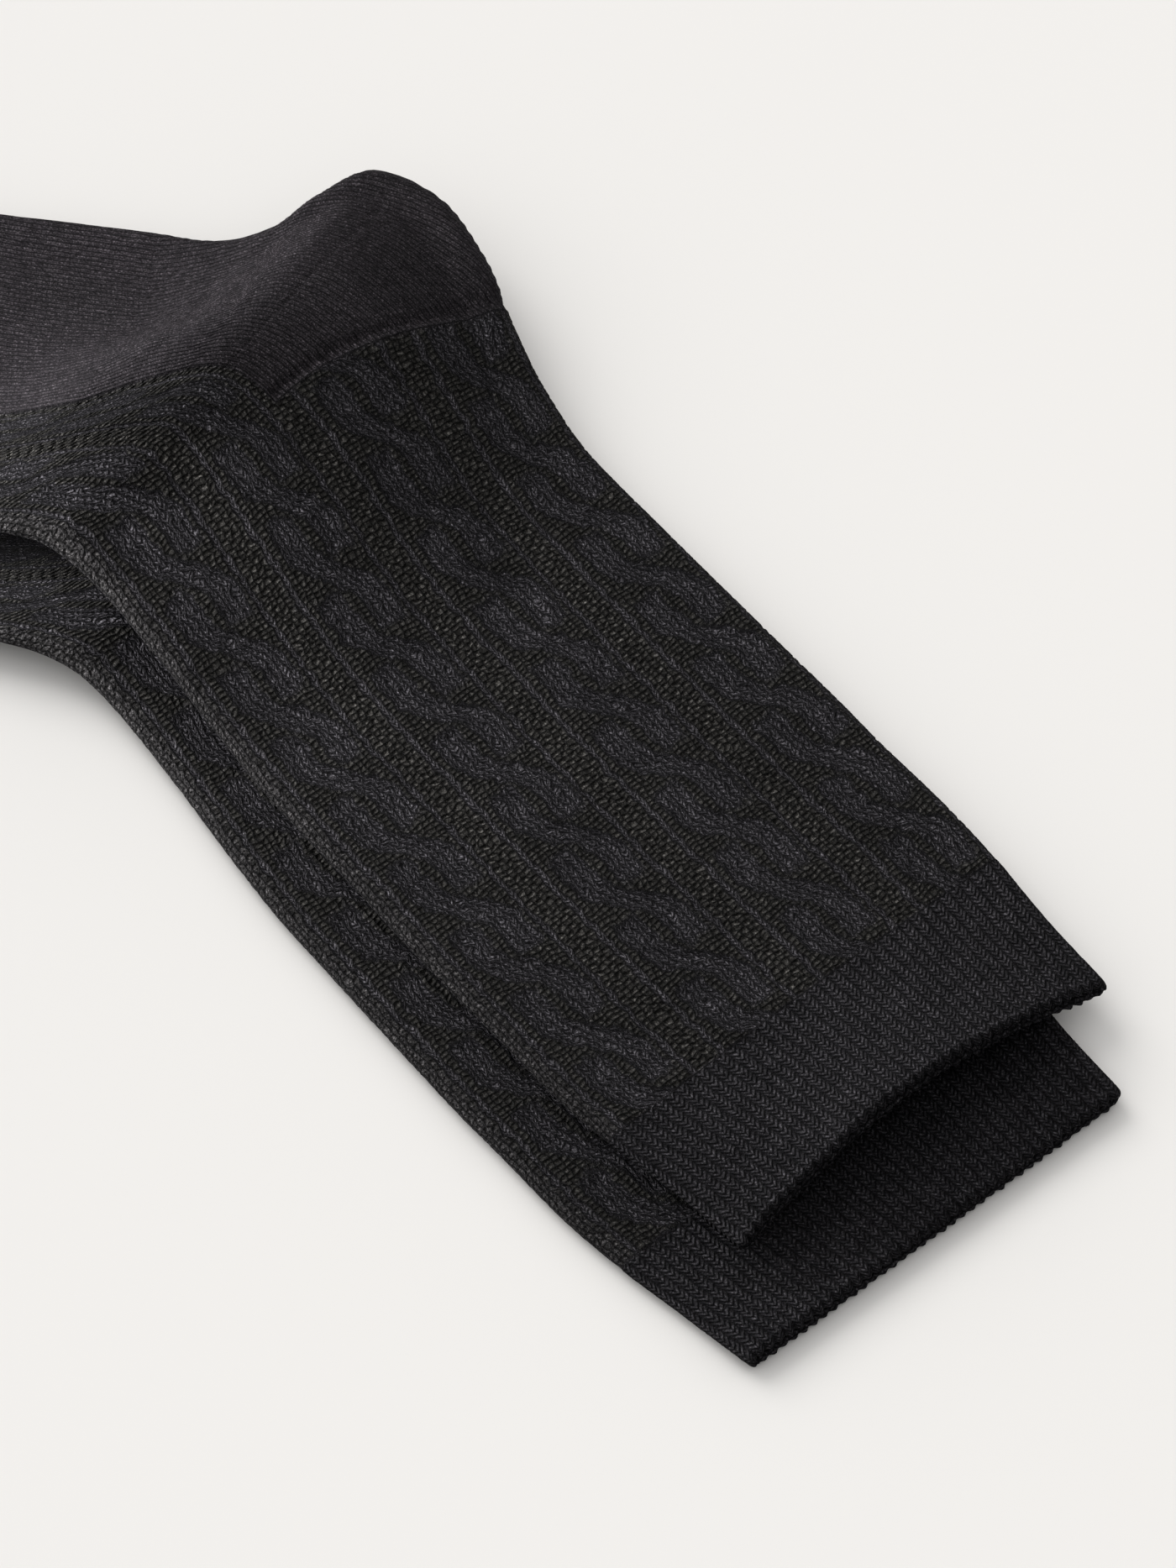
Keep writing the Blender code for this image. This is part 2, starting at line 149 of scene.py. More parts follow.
@dataclass(frozen=True)
class Lie:
    """How high one section of a sock lies: its underside from fold to fold, its layers and its folds."""

    front: float
    front_quarter: float
    side: float
    back_quarter: float
    back: float
    apart: float
    radius: float = FOLD_RADIUS
    pulled: float = 0.0

    def numbers(self) -> list[float]:
        """All sizes in order."""
        quarters = [self.front, self.front_quarter, self.side, self.back_quarter, self.back]
        return quarters + [self.apart, self.radius, self.pulled]


PLAN = (
    Section("cuff edge", (24.0, -101.2), (57.4, -73.8), (89.4, -47.4), 3),
    Section("cuff middle", (13.1, -91.5), (48.2, -61.6), (80.4, -34.4), 3),
    Section("band end", (1.9, -81.5), (39.0, -48.8), (72.4, -21.4), 9),
    Section("leg low", (-19.7, -57.5), (17.5, -22.0), (50.4, 7.4), 10),
    Section("leg middle", (-41.6, -30.4), (-4.0, 4.8), (29.8, 33.6), 8),
    Section("leg high", (-59.2, -7.6), (-22.7, 27.3), (11.6, 56.8), 5),
    Section("hump foot", (-71.5, 10.1), (-36.0, 42.3), (0.2, 71.2), 5),
    Section("ankle", (-83.4, 26.9), (-49.7, 57.5), (-8.2, 85.8), 6),
    Section("heel start", (-91.3, 36.2), (-61.4, 70.4), (-15.0, 101.5), 3),
    Section("heel back", (-94.0, 38.8), (-63.6, 72.8), (-19.4, 113.5), 3),
    Section("heel round", (-96.0, 40.6), (-65.6, 74.6), (-27.6, 127.5), 3),
    Section("heel point", (-97.8, 42.0), (-67.8, 76.0), (-40.2, 135.0), 3),
    Section("heel under", (-99.6, 43.2), (-70.4, 77.4), (-51.5, 130.0), 3),
    Section("sole start", (-101.6, 44.2), (-74.2, 78.9), (-60.8, 123.6), 2),
    Section("instep", (-104.2, 45.0), (-80.4, 80.4), (-69.5, 122.8), 3),
    Section("foot high", (-108.0, 46.0), (-90.4, 81.4), (-82.5, 126.0), 6),
    Section("foot low", (-117.5, 49.0), (-109.8, 83.0), (-112.0, 131.0), 7),
    Section("foot middle", (-139.5, 54.0), (-137.0, 90.0), (-141.0, 135.5), 7),
    Section("foot fore", (-168.0, 58.5), (-169.0, 96.0), (-172.0, 139.5), 7),
    Section("ball", (-196.0, 61.0), (-199.0, 99.5), (-201.5, 141.0), 5),
    Section("toe start", (-218.5, 65.0), (-223.0, 102.5), (-225.5, 139.5), 3),
    Section("toe taper", (-234.5, 71.0), (-239.0, 104.5), (-241.0, 136.0), 3),
    Section("toe round", (-245.5, 80.5), (-248.8, 106.0), (-249.8, 130.0), 2),
    Section("toe tip", (-251.5, 93.0), (-253.2, 107.0), (-253.0, 121.0), 0),
)
UPPER_LIE = (
    Lie(4.2, 7.2, 9.0, 7.2, 4.3, 2.6, 2.5, 4.0),
    Lie(4.2, 5.8, 6.8, 5.8, 4.3, 1.4, 2.1, 2.0),
    Lie(4.2, 4.6, 4.9, 4.7, 4.3, 0.6),
    Lie(4.2, 4.3, 4.0, 4.1, 4.3, 0.4),
    Lie(4.2, 4.2, 3.8, 4.0, 4.3, 0.4),
    Lie(4.3, 4.4, 4.5, 4.4, 4.4, 0.4),
    Lie(5.2, 6.3, 7.4, 6.2, 4.8, 0.5),
    Lie(8.4, 11.6, 13.4, 11.2, 6.6, 0.8, 2.1),
    Lie(11.2, 15.0, 19.4, 18.0, 9.2, 1.2, 2.6),
    Lie(11.8, 16.0, 20.9, 19.0, 9.6, 1.4, 3.0),
    Lie(12.2, 16.8, 21.8, 19.6, 9.6, 1.6, 3.1),
    Lie(12.6, 17.6, 22.6, 19.8, 9.4, 1.6, 3.1),
    Lie(13.0, 18.4, 23.0, 18.8, 8.2, 1.4, 2.8),
    Lie(13.3, 19.4, 22.8, 15.8, 6.4, 1.2, 2.4),
    Lie(13.5, 20.4, 21.4, 11.2, 4.6, 0.8, 2.1),
    Lie(13.4, 19.2, 16.4, 6.4, 3.4, 0.5),
    Lie(10.4, 12.2, 8.4, 4.8, 3.0, 0.4),
    Lie(6.6, 6.0, 4.9, 4.5, 3.0, 0.4),
    Lie(4.6, 4.3, 4.2, 4.4, 2.8, 0.4),
    Lie(4.2, 4.2, 4.2, 4.4, 2.8, 0.4),
    Lie(4.2, 4.2, 4.2, 4.4, 2.8, 0.5),
    Lie(4.2, 4.3, 4.3, 4.4, 3.0, 0.5),
    Lie(4.2, 4.3, 4.3, 4.3, 2.8, 0.4),
    Lie(4.2, 4.3, 4.3, 4.3, 3.4, 0.4),
)
LEVEL = Lie(0.0, 0.0, 0.0, 0.0, 0.0, 0.4)
LOWER_LIE = (
    Lie(0.0, 0.0, 0.0, 0.0, 0.0, 2.4, 2.5),
    Lie(0.0, 0.0, 0.0, 0.0, 0.0, 0.8, 1.95),
    *(LEVEL,) * 4,
    Lie(0.0, 0.0, 0.2, 0.0, 0.0, 0.4),
    Lie(0.4, 0.8, 1.8, 1.4, 0.2, 0.5),
    Lie(1.8, 4.0, 7.6, 7.2, 2.6, 0.8, 2.2),
    Lie(2.7, 4.8, 8.8, 8.4, 3.8, 0.9, 2.4),
    Lie(3.4, 5.2, 9.4, 9.0, 4.2, 1.0, 2.5),
    Lie(3.9, 5.6, 9.8, 9.4, 4.2, 1.0, 2.5),
    Lie(4.4, 6.0, 9.8, 8.8, 3.6, 0.9, 2.3),
    Lie(4.8, 6.2, 9.2, 6.8, 2.2, 0.7, 2.1),
    Lie(5.0, 6.2, 7.6, 3.8, 0.8, 0.5),
    Lie(5.4, 5.4, 3.2, 0.4, 0.0, 0.4),
    Lie(4.0, 2.0, 0.4, 0.0, 0.0, 0.4),
    Lie(1.4, 0.3, 0.0, 0.0, 0.0, 0.4),
    *(LEVEL,) * 2,
    Lie(0.0, 0.0, 0.0, 0.0, 0.0, 0.5),
    Lie(0.0, 0.0, 0.0, 0.0, 0.0, 0.5),
    *(LEVEL,) * 2,
)


def eased(share: np.ndarray) -> np.ndarray:
    """Soft step from 0 to 1."""
    share = np.clip(share, 0.0, 1.0)
    return share * share * (3.0 - 2.0 * share)


def hump(place: np.ndarray, centre: float, width: float) -> np.ndarray:
    """Rounded ridge of height 1 about a centre."""
    return np.cos(np.clip((place - centre) / width, -1.0, 1.0) * 0.5 * math.pi) ** 2


def cloud(u: np.ndarray, v: np.ndarray, seed: int, size: int = 64) -> np.ndarray:
    """Soft random field with one hill or hollow in each unit square.

    Args:
        u: First coordinate of each point.
        v: Second coordinate of each point.
        seed: Which field.
        size: After how many squares the field repeats.

    Returns:
        A number from -1 to 1 at each point.
    """
    hills = np.random.default_rng(seed).uniform(-1.0, 1.0, (size, size))
    left = np.floor(u).astype(int)
    low = np.floor(v).astype(int)
    right_share = eased(u - left)
    high_share = eased(v - low)
    rows = []
    for level in (low % size, (low + 1) % size):
        rows.append(hills[left % size, level] * (1.0 - right_share) + hills[(left + 1) % size, level] * right_share)
    return rows[0] * (1.0 - high_share) + rows[1] * high_share


def read_between(table: np.ndarray, place: np.ndarray) -> np.ndarray:
    """Rows of a table, read between them too.

    Args:
        table: The table, with a row at each whole place.
        place: Where it is read.

    Returns:
        One row of values for each place.
    """
    place = np.clip(place, 0.0, len(table) - 1.001)
    low = np.floor(place).astype(int)
    part = (place - low).reshape(-1, *[1] * (table.ndim - 1))
    return table[low] * (1.0 - part) + table[low + 1] * part


def curve_through(knots: np.ndarray, values: np.ndarray, at: np.ndarray, level: bool) -> np.ndarray:
    """Cubic curve through a table's values.

    Args:
        knots: Where the table's rows stand.
        values: The table, one row for each knot.
        at: Where the curve is read.
        level: Whether the curve stays between neighbouring values.

    Returns:
        One row of values for each place in at.
    """
    knots = np.asarray(knots, float)
    width = np.diff(knots)[:, None]
    rise = np.diff(values, axis=0) / width
    before = rise[:-1]
    after = rise[1:]
    share = width[:-1] / (width[:-1] + width[1:])
    inner = before * (1.0 - share) + after * share
    if level:
        same = before * after > 0.0
        inner = np.where(same, 2.0 * before * after / np.where(same, before + after, 1.0), 0.0)
    slope = np.vstack([rise[:1], inner, rise[-1:]])
    place = np.clip(np.searchsorted(knots, at, side="right") - 1, 0, len(knots) - 2)
    span = width[place]
    share = (at - knots[place])[:, None] / span
    start = (1.0 + 2.0 * share) * (1.0 - share) ** 2 * values[place]
    end = share ** 2 * (3.0 - 2.0 * share) * values[place + 1]
    leave = share * (1.0 - share) ** 2 * span * slope[place]
    arrive = share ** 2 * (share - 1.0) * span * slope[place + 1]
    return start + end + leave + arrive


@dataclass
class SockForm:
    """Form of one laid sock. Rows run from cuff edge to toe tip, shares from front fold to back fold.

    From the section after edge_from on, edges tells how far from the front fold the instep's pattern ends. From
    edge_from on, arched tells how far the ribs halfway there bow. Above it, that edge stands at an even share.
    """

    lies: tuple[Lie, ...]
    shift: tuple[float, float]
    drawn_in: tuple[float, ...]
    edge_from: str = "hump foot"
    edges: tuple[float, ...] = (48.5, 49.0, 48.6, 48.2, 46.8, 44.7, 40.5, 36.0, 27.0, 26.0, 29.0, 33.0, 35.5, 34.0,
                                26.0, 18.0, 12.0)
    arched: tuple[float, ...] = (0.5, 2.0, 2.8, 3.4, 4.0, 4.2, 4.2, 3.6, 1.6, 0.6, 0.0)
    even_share: float = 0.514
    largest_share: float = 0.8
    knots: np.ndarray = field(init=False)
    plan: np.ndarray = field(init=False)
    lie: np.ndarray = field(init=False)
    leg_way: np.ndarray = field(init=False)
    rows: np.ndarray = field(init=False)
    along: np.ndarray = field(init=False)
    spread: np.ndarray = field(init=False)
    to_tip: np.ndarray = field(init=False)

    def __post_init__(self) -> None:
        """Works out the lengths along the cloth."""
        self.knots = np.concatenate([[0.0], np.cumsum([section.steps for section in PLAN[:-1]])])
        self.plan = np.array([[*section.front, *section.side, *section.back] for section in PLAN])
        for section, drawn in enumerate(self.drawn_in):
            across = self.plan[section, 2:4] - self.plan[section, 0:2]
            self.plan[section, 0:2] += drawn * across / np.hypot(*across)
        self.lie = np.array([lie.numbers() for lie in self.lies])
        way = self.plan[self.number("leg high"), 2:4] - self.plan[self.number("band end"), 2:4]
        self.leg_way = way / np.hypot(*way)
        self.rows = np.linspace(0.0, self.knots[-1], int(self.knots[-1]) * SMALL_STEPS + 1)
        side = self.steps_at(0.5)
        quarter = self.steps_at(0.25)
        self.to_tip = np.concatenate([np.cumsum(side[::-1])[::-1], [0.0]])
        whole = self.rows[::SMALL_STEPS]
        coarse = np.hypot(*np.diff(self.places(whole, np.full(len(whole), 0.25)), axis=0).T)
        self.along = np.interp(self.rows, whole, np.concatenate([[0.0], np.cumsum(coarse)]))
        mean = 0.5 * (quarter + self.steps_at(1.0))
        self.spread = np.concatenate([[0.0], np.cumsum(mean)])

    def number(self, name: str) -> int:
        """Place of a named section in the plan."""
        return [section.name for section in PLAN].index(name)

    def row_of(self, name: str) -> float:
        """Row of a named section."""
        return float(self.knots[self.number(name)])

    def run_of(self, name: str) -> float:
        """Distance along the cloth from the end of the cuff band to a named section."""
        return float(np.interp(self.row_of(name), self.rows, self.along)) - BAND

    def steps_at(self, share: float) -> np.ndarray:
        """Length of each small step along the line at one share."""
        line = self.places(self.rows, np.full(len(self.rows), share))
        return np.hypot(*np.diff(line, axis=0).T)

    def places(self, row: np.ndarray, share: np.ndarray) -> np.ndarray:
        """Places on the table, seen from above.

        Args:
            row: Row of each point.
            share: Share across of each point.

        Returns:
            The places in the plan.
        """
        folds = curve_through(self.knots, self.plan, row, False)
        pull = curve_through(self.knots, self.lie, row, True)[:, 7, None]
        share = share[:, None]
        middle = 4.0 * share * (1.0 - share)
        front = folds[:, 0:2] * (1.0 - share) * (1.0 - 2.0 * share)
        back = folds[:, 4:6] * share * (2.0 * share - 1.0)
        return front + folds[:, 2:4] * middle + back + pull * middle * self.leg_way + np.array(self.shift)

    def section_run(self, row: float) -> tuple[np.ndarray, np.ndarray]:
        """Shares across one section and the run from its front fold to each.

        Args:
            row: Which section.

        Returns:
            The shares, and the length of the line from the fold to each of them.
        """
        share = np.linspace(0.0, 1.0, SAMPLES)
        line = self.places(np.full(SAMPLES, row), share)
        return share, np.concatenate([[0.0], np.cumsum(np.hypot(*np.diff(line, axis=0).T))])

    def faces(self, row: float, share: np.ndarray, inset: float) -> tuple[np.ndarray, np.ndarray, np.ndarray]:
        """One section of the cloth.

        Args:
            row: Which section, as a row number.
            share: The shares across at which it is read.
            inset: How far in from the outer face.

        Returns:
            The places on the table, the heights of the under layer and the heights of the over layer.
        """
        lie = curve_through(self.knots, self.lie, np.array([row]), True)[0]
        base = curve_through(QUARTERS, lie[:5, None], share, True)[:, 0]
        apart = lie[5]
        radius = lie[6]
        fine, run = self.section_run(row)
        here = np.interp(share, fine, run)
        tip = float(np.interp(row, self.rows, self.to_tip))
        distance = np.minimum(np.minimum(here, run[-1] - here), tip)
        turn = radius - inset
        turned = np.clip((distance - inset) / turn, 0.0, 1.0)
        half = turn * np.sqrt(1.0 - (1.0 - turned) ** 2)
        thick = 2.0 * radius + (2.0 * WALL + apart - 2.0 * radius) * eased((distance - radius) / FOLD_REACH)
        over = np.where(distance < radius, radius + half, thick - inset)
        return self.places(np.full(len(share), row), share), base + radius - half, base + over

    def instep_edge(self, row: float, span: float) -> float:
        """Distance from the front fold to the column where the instep's pattern ends.

        Args:
            row: Which section.
            span: Length of the line across it.

        Returns:
            The distance along that line.
        """
        even = span * self.even_share
        start = self.number(self.edge_from)
        told = float(np.interp(row, self.knots[start + 1:start + 1 + len(self.edges)], self.edges))
        share = float(eased((row - self.knots[start]) / (self.knots[start + 2] - self.knots[start])))
        return even * (1.0 - share) + min(told, self.largest_share * span) * share

    def rib_arch(self, row: float) -> float:
        """How much further from the front fold the ribs halfway to the instep's edge run at one section."""
        start = self.number(self.edge_from)
        return float(np.interp(row, self.knots[start:start + 1 + len(self.arched)], (0.0, *self.arched)))

    def rows_between(self, first: float, last: float, step: float) -> np.ndarray:
        """Rows from one to another, evenly far apart on the cloth.

        Args:
            first: The first row.
            last: The last row.
            step: About how far apart they lie.

        Returns:
            The rows, both ends with them.
        """
        ends = np.interp([first, last], self.rows, self.spread)
        count = max(2, int(round((ends[1] - ends[0]) / step)) + 1)
        return np.interp(np.linspace(ends[0], ends[1], count), self.spread, self.rows)

    def row_before_tip(self, distance: float) -> float:
        """Row at a distance before the toe tip."""
        return float(np.interp(distance, self.to_tip[::-1], self.rows[::-1]))


@dataclass(frozen=True)
class Columns:
    """Columns of points round the tube, counted in wales of the leg on the over side.

    The turns are in degrees round each fold. Where the leg bends into the foot, the columns before front_end
    are rounded by a mean over the rows about each row. It fades over front_fade wales, and rounding tells how
    many rows it is wide.
    """

    wales: tuple[float, ...]
    over_turns: tuple[float, ...] = (0.0, 15.0, 30.0, 45.0, 60.0, 75.0)
    under_turns: tuple[float, ...] = (22.5, 45.0, 67.5, 90.0)
    under_count: int = 14
    front_end: float = 46.0
    front_fade: float = 16.0
    rounding: float = 4.0
    rounding_reach: float = 12.0

    def ring(self, form: SockForm, row: float, inset: float) -> np.ndarray:
        """Points of one ring round the tube.

        Args:
            form: The sock's form.
            row: Which section.
            inset: How far in from the outer face.

        Returns:
            The points in millimetres, from the front fold over the top to the back fold and back below.
        """
        lie = curve_through(form.knots, form.lie, np.array([row]), True)[0]
        radius = lie[6]
        fine, run = form.section_run(row)
        over, under = ([inset + (radius - inset) * (1.0 - math.cos(math.radians(turn))) for turn in turns]
                       for turns in (self.over_turns, self.under_turns))
        span = run[-1]
        first = self.wales[0]
        last = self.wales[-1]
        edge = form.instep_edge(row, span)
        marks = (first, 0.5 * (first + INSTEP_EDGE), INSTEP_EDGE, 0.5 * (INSTEP_EDGE + last), last)
        told = (radius, 0.5 * (radius + edge) + form.rib_arch(row), edge, 0.5 * (edge + span - radius), span - radius)
        inner = list(curve_through(marks, np.array(told)[:, None], np.array(self.wales), True)[:, 0])
        top = np.array(over + inner + [span - run_in for run_in in over[::-1]])
        reach = under[-1]
        steps = [reach + (span - 2.0 * reach) * (k + 1.0) / (self.under_count + 1.0)
                 for k in range(self.under_count)]
        low = np.array([span - run_in for run_in in under] + steps[::-1] + under[::-1])
        places, _, high = form.faces(row, np.interp(top, run, fine), inset)
        below, lower, _ = form.faces(row, np.interp(low, run, fine), inset)
        return np.vstack([np.column_stack([places, high]), np.column_stack([below, lower])])

    def front_share(self) -> np.ndarray:
        """How far each column takes part in the rounding.

        Returns:
            1 on the columns of the front fold, falling to 0 towards the back.
        """
        fading = [float(eased((self.front_end - wale) / self.front_fade)) for wale in self.wales]
        under = [(k + 1.0) / (self.under_count + 1.0) for k in range(self.under_count)]
        back = [0.0] * (len(self.over_turns) + len(self.under_turns))
        return np.array([1.0] * len(self.over_turns) + fading + back + under + [1.0] * len(self.under_turns))

    def rings(self, form: SockForm, rows: np.ndarray) -> np.ndarray:
        """Rings at some rows, with the front columns' bend from leg to foot rounded.

        Args:
            form: The sock's form.
            rows: Which sections.

        Returns:
            The points in millimetres, rows by columns.
        """
        plain = np.stack([self.ring(form, float(row), 0.0) for row in rows])
        marks = [form.row_of(name) for name in ("leg high", "ankle", "foot low", "foot middle")]
        share = np.interp(rows, marks, (0.0, 1.0, 1.0, 0.0))
        if share.max() == 0.0:
            return plain
        grid = np.arange(marks[0] - self.rounding_reach, marks[3] + self.rounding_reach, GRID)
        base = np.stack([self.ring(form, float(row), 0.0) for row in grid])
        reach = int(self.rounding_reach / GRID)
        offsets = np.arange(-reach, reach + 1)
        weights = np.exp(-0.5 * (offsets * GRID / self.rounding) ** 2)
        soft = np.zeros_like(base)
        for offset, weight in zip(offsets, weights / weights.sum()):
            soft += weight * base[np.clip(np.arange(len(grid)) + offset, 0, len(grid) - 1)]
        moved = read_between(soft - base, (rows - grid[0]) / GRID)
        return plain + moved * share[:, None, None] * self.front_share()[None, :, None]

    def travel(self, form: SockForm) -> np.ndarray:
        """How far each column has run from the end of the band.

        Args:
            form: The sock's form.

        Returns:
            The distances at the rings of a coarse grid, GRID rows apart.
        """
        rings = self.rings(form, np.arange(0.0, form.knots[-1], GRID))
        steps = np.linalg.norm(np.diff(rings, axis=0), axis=2)
        run = np.concatenate([np.zeros((1, rings.shape[1])), np.cumsum(steps, axis=0)])
        return run - run[int(round(form.row_of("band end") / GRID))]

    def wale_numbers(self) -> np.ndarray:
        """Number of the wale that each column lies on.

        Returns:
            The numbers, in the order of the ring.
        """
        arc = FOLD_RADIUS * math.radians(1.0) / WALE
        front = [self.wales[0] - (90.0 - turn) * arc for turn in self.over_turns]
        back = [self.wales[-1] + (90.0 - turn) * arc for turn in self.over_turns[::-1]]
        under = [back[-1] + turn * arc for turn in self.under_turns]
        final = [front[0] - turn * arc for turn in self.under_turns[::-1]]
        step = (WALES_ROUND + final[0] - under[-1]) / (self.under_count + 1.0)
        rest = [under[-1] + (k + 1.0) * step for k in range(self.under_count)]
        return np.array(front + list(self.wales) + back + under + rest + final)

    def over_side(self) -> np.ndarray:
        """Which columns show.

        Returns:
            1 on the over side and the folds, falling to 0 where the cloth lies on its underside.
        """
        turns = [math.cos(math.radians(turn)) for turn in self.under_turns]
        top = [1.0] * (2 * len(self.over_turns) + len(self.wales))
        return np.array(top + turns + [0.0] * self.under_count + turns[::-1])


@dataclass(frozen=True)
class Knit:
    """Sizes of the knitting: pitches and heights in millimetres, places in wales of one pattern repeat.

    strand_reach tells from where to where the stitches follow a strand, strand_pull how much they follow it and
    how much the chart, and strand_cover how much a cable takes from the purl. The other pairs of numbers are a
    start and what is added to it or taken off it.
    """

    course: float = 1.0875
    cuff_wale: float = 2.3
    cuff_start: float = 4.0
    plain_wale: float = 1.17
    chart_plain: float = 0.15
    chart_soft: float = 0.7
    cable_period: float = 17.4
    cable_start: float = 0.6
    slit: float = 9.25
    strand_off: float = 3.0
    strand_half: float = 2.35
    strand_round: float = 0.7
    strand_from: float = 0.25
    strand_reach: tuple[float, float] = (3.6, 14.8)
    strand_pull: tuple[float, float] = (0.6, 0.4)
    strand_cover: tuple[float, float] = (2.2, 0.6)
    cross_share: float = 0.44
    under_from: float = 0.1
    under_fade: float = 0.2
    under_share: float = 0.85
    over_share: tuple[float, float] = (1.05, 0.15)
    leg_low: float = 0.45
    leg_rise: float = 0.55
    bead_round: float = 0.8
    bead_low: tuple[float, float] = (0.1, 0.8)
    fold_wales: float = 3.0
    fold_beads: tuple[float, float] = (0.4, 0.6)
    cable_height: float = 0.34
    rib_height: float = 0.36
    moss_rib: float = 0.3
    stitch_height: float = 0.13
    moss_height: float = 0.36
    purl_height: float = 0.22
    cuff_height: float = 0.2
    cuff_rib: tuple[float, float] = (0.6, 0.25)
    cuff_stitch: float = 1.1
    plain_height: float = 0.09
    gore_height: float = 0.1
    heel_ridge: float = 0.5
    ridge_stitch: float = 0.16
    ridge_wale: float = 1.1
    full_height: float = 0.9
    chart: tuple[Stitch, ...] = (
        (Stitch.MOSS,) * 2 + (Stitch.KNIT, Stitch.PURL) + (Stitch.STRAND,) * 5 + (Stitch.PURL,)
        + (Stitch.STRAND,) * 5 + (Stitch.KNIT,) + (Stitch.MOSS,) * 2
    )

    def chart_share(self, wale: np.ndarray, kind: Stitch) -> np.ndarray:
        """How far each place lies in columns of one kind, softened at their edges.

        Args:
            wale: Wale number of each point.
            kind: The kind of stitch.

        Returns:
            A share from 0 to 1 for each point.
        """
        place = np.mod(wale, REPEAT_WALES)
        found = np.array([float(stitch is kind) for stitch in self.chart])
        centres = np.arange(-1, REPEAT_WALES + 1) + 0.5
        around = np.concatenate([found[-1:], found, found[:1]])
        low = np.clip(np.floor(place + 0.5).astype(int), 0, REPEAT_WALES)
        share = eased((place - centres[low] - self.chart_plain) / self.chart_soft)
        return around[low] * (1.0 - share) + around[np.minimum(low + 1, REPEAT_WALES + 1)] * share

    def stitches(self, wale: np.ndarray, course: np.ndarray) -> np.ndarray:
        """Knit stitches, two slanting legs to each wale.

        Args:
            wale: Wale number of each point.
            course: Course number of each point.

        Returns:
            Their height from 0 to 1.
        """
        aside = np.abs(wale - np.floor(wale) - 0.5)
        along = course - LEG_LEAN * aside
        leg = np.sin(2.0 * math.pi * aside)
        return leg * (self.leg_low + self.leg_rise * np.sin(math.pi * (along - np.floor(along))))

    def beads(self, wale: np.ndarray, course: np.ndarray, moss: np.ndarray) -> np.ndarray:
        """Purl and moss stitches, one bead to a stitch, and in moss every other one low.

        Args:
            wale: Wale number of each point.
            course: Course number of each point.
            moss: How far each point lies in moss stitch.

        Returns:
            Their height from 0 to 1.
        """
        across = np.abs(np.sin(math.pi * wale)) ** self.bead_round
        along = np.abs(np.sin(math.pi * course)) ** self.bead_round
        odd = np.mod(np.floor(wale) + np.floor(course), 2.0)
        return across * along * (1.0 - (self.bead_low[0] + self.bead_low[1] * moss) * odd)

    def cables(self, wale: np.ndarray, run: np.ndarray) -> tuple[np.ndarray, np.ndarray]:
        """Two strands that cross at every period.

        Args:
            wale: Wale number of each point.
            run: Distance from the end of the band.

        Returns:
            The height from 0 to about 1, and the wale number that the stitches of the strand follow.
        """
        place = np.mod(wale, REPEAT_WALES)
        turn = (run - self.cable_start) / self.cable_period
        turn = turn - np.round(turn)
        lean = np.sin(0.5 * math.pi * np.clip(turn / self.cross_share, -1.0, 1.0)) * self.strand_off
        aside = np.where(turn >= 0.0, 1.0, -1.0) * self.strand_off
        over = (place - (self.slit - lean)) / self.strand_half
        under = (place - (self.slit + aside)) / self.strand_half
        shown = eased((np.abs(turn) - self.under_from) / self.under_fade)
        top, drop = self.over_share
        over_height = np.clip(1.0 - over ** 2, 0.0, 1.0) ** self.strand_round * (top - drop * shown)
        under_height = np.clip(1.0 - under ** 2, 0.0, 1.0) ** self.strand_round * self.under_share * shown
        owner = np.where(over_height >= under_height, over, under) * self.strand_half
        return np.maximum(over_height, under_height), owner


@dataclass(frozen=True)
class Borders:
    """Where one kind of knitting goes over into the next, in millimetres; the gore in rows and then wales."""

    leg_fade: float = 1.2
    instep_fade: float = 0.8
    band_overlap: float = 0.2
    band_fade: float = 0.8
    toe_fade: float = 1.5
    ridge_after: float = 0.3
    ridge_half: float = 1.1
    gore_before: float = 1.4
    gore_half: float = 0.35
    gore_wale: float = 35.0
    gore_fade: float = 2.0


@dataclass(frozen=True)
class Looseness:
    """How unevenly the yarn lies. A field is given by its size in wales, its size in courses and its seed.

    Sway shifts the stitches along the wales and drift across them, by a share of its own in each kind of
    knitting. The swell lifts the whole cloth, and its second size is in millimetres.
    """

    sway: tuple[tuple[float, float, int], ...] = ((2.2, 2.6, 0), (0.9, 1.1, 3))
    drift: tuple[tuple[float, float, int], ...] = ((1.6, 2.0, 1), (0.8, 1.0, 4))
    swell: tuple[float, float, int] = (9.0, 14.0, 2)
    swell_height: float = 0.14
    leg: float = 0.26
    leg_strand: float = 0.5
    cable_drift: float = 0.3
    cable_sway: float = 0.7
    moss_drift: float = 0.3
    rib_drift: float = 0.2
    cuff_drift: float = 0.05
    cuff_sway: float = 0.16
    plain_drift: float = 0.06
    plain_sway: float = 0.1


@dataclass
class Cloth:
    """Points of one piece of a sock with what the finish reads at each of them."""

    points: np.ndarray
    stitch: np.ndarray
    masks: dict[str, np.ndarray]

    def part(self, rings: slice) -> "Cloth":
        """Some of its rings."""
        return Cloth(self.points[rings], self.stitch[rings], {name: mask[rings] for name, mask in self.masks.items()})


@dataclass
class Ground:
    """Plain face of some rings with all that the knitting on it goes by: wales by column, the rest by point."""

    points: np.ndarray
    wales: np.ndarray
    wale: np.ndarray
    travel: np.ndarray
    course: np.ndarray
    sway: np.ndarray
    drift: np.ndarray
    zones: dict[str, np.ndarray]


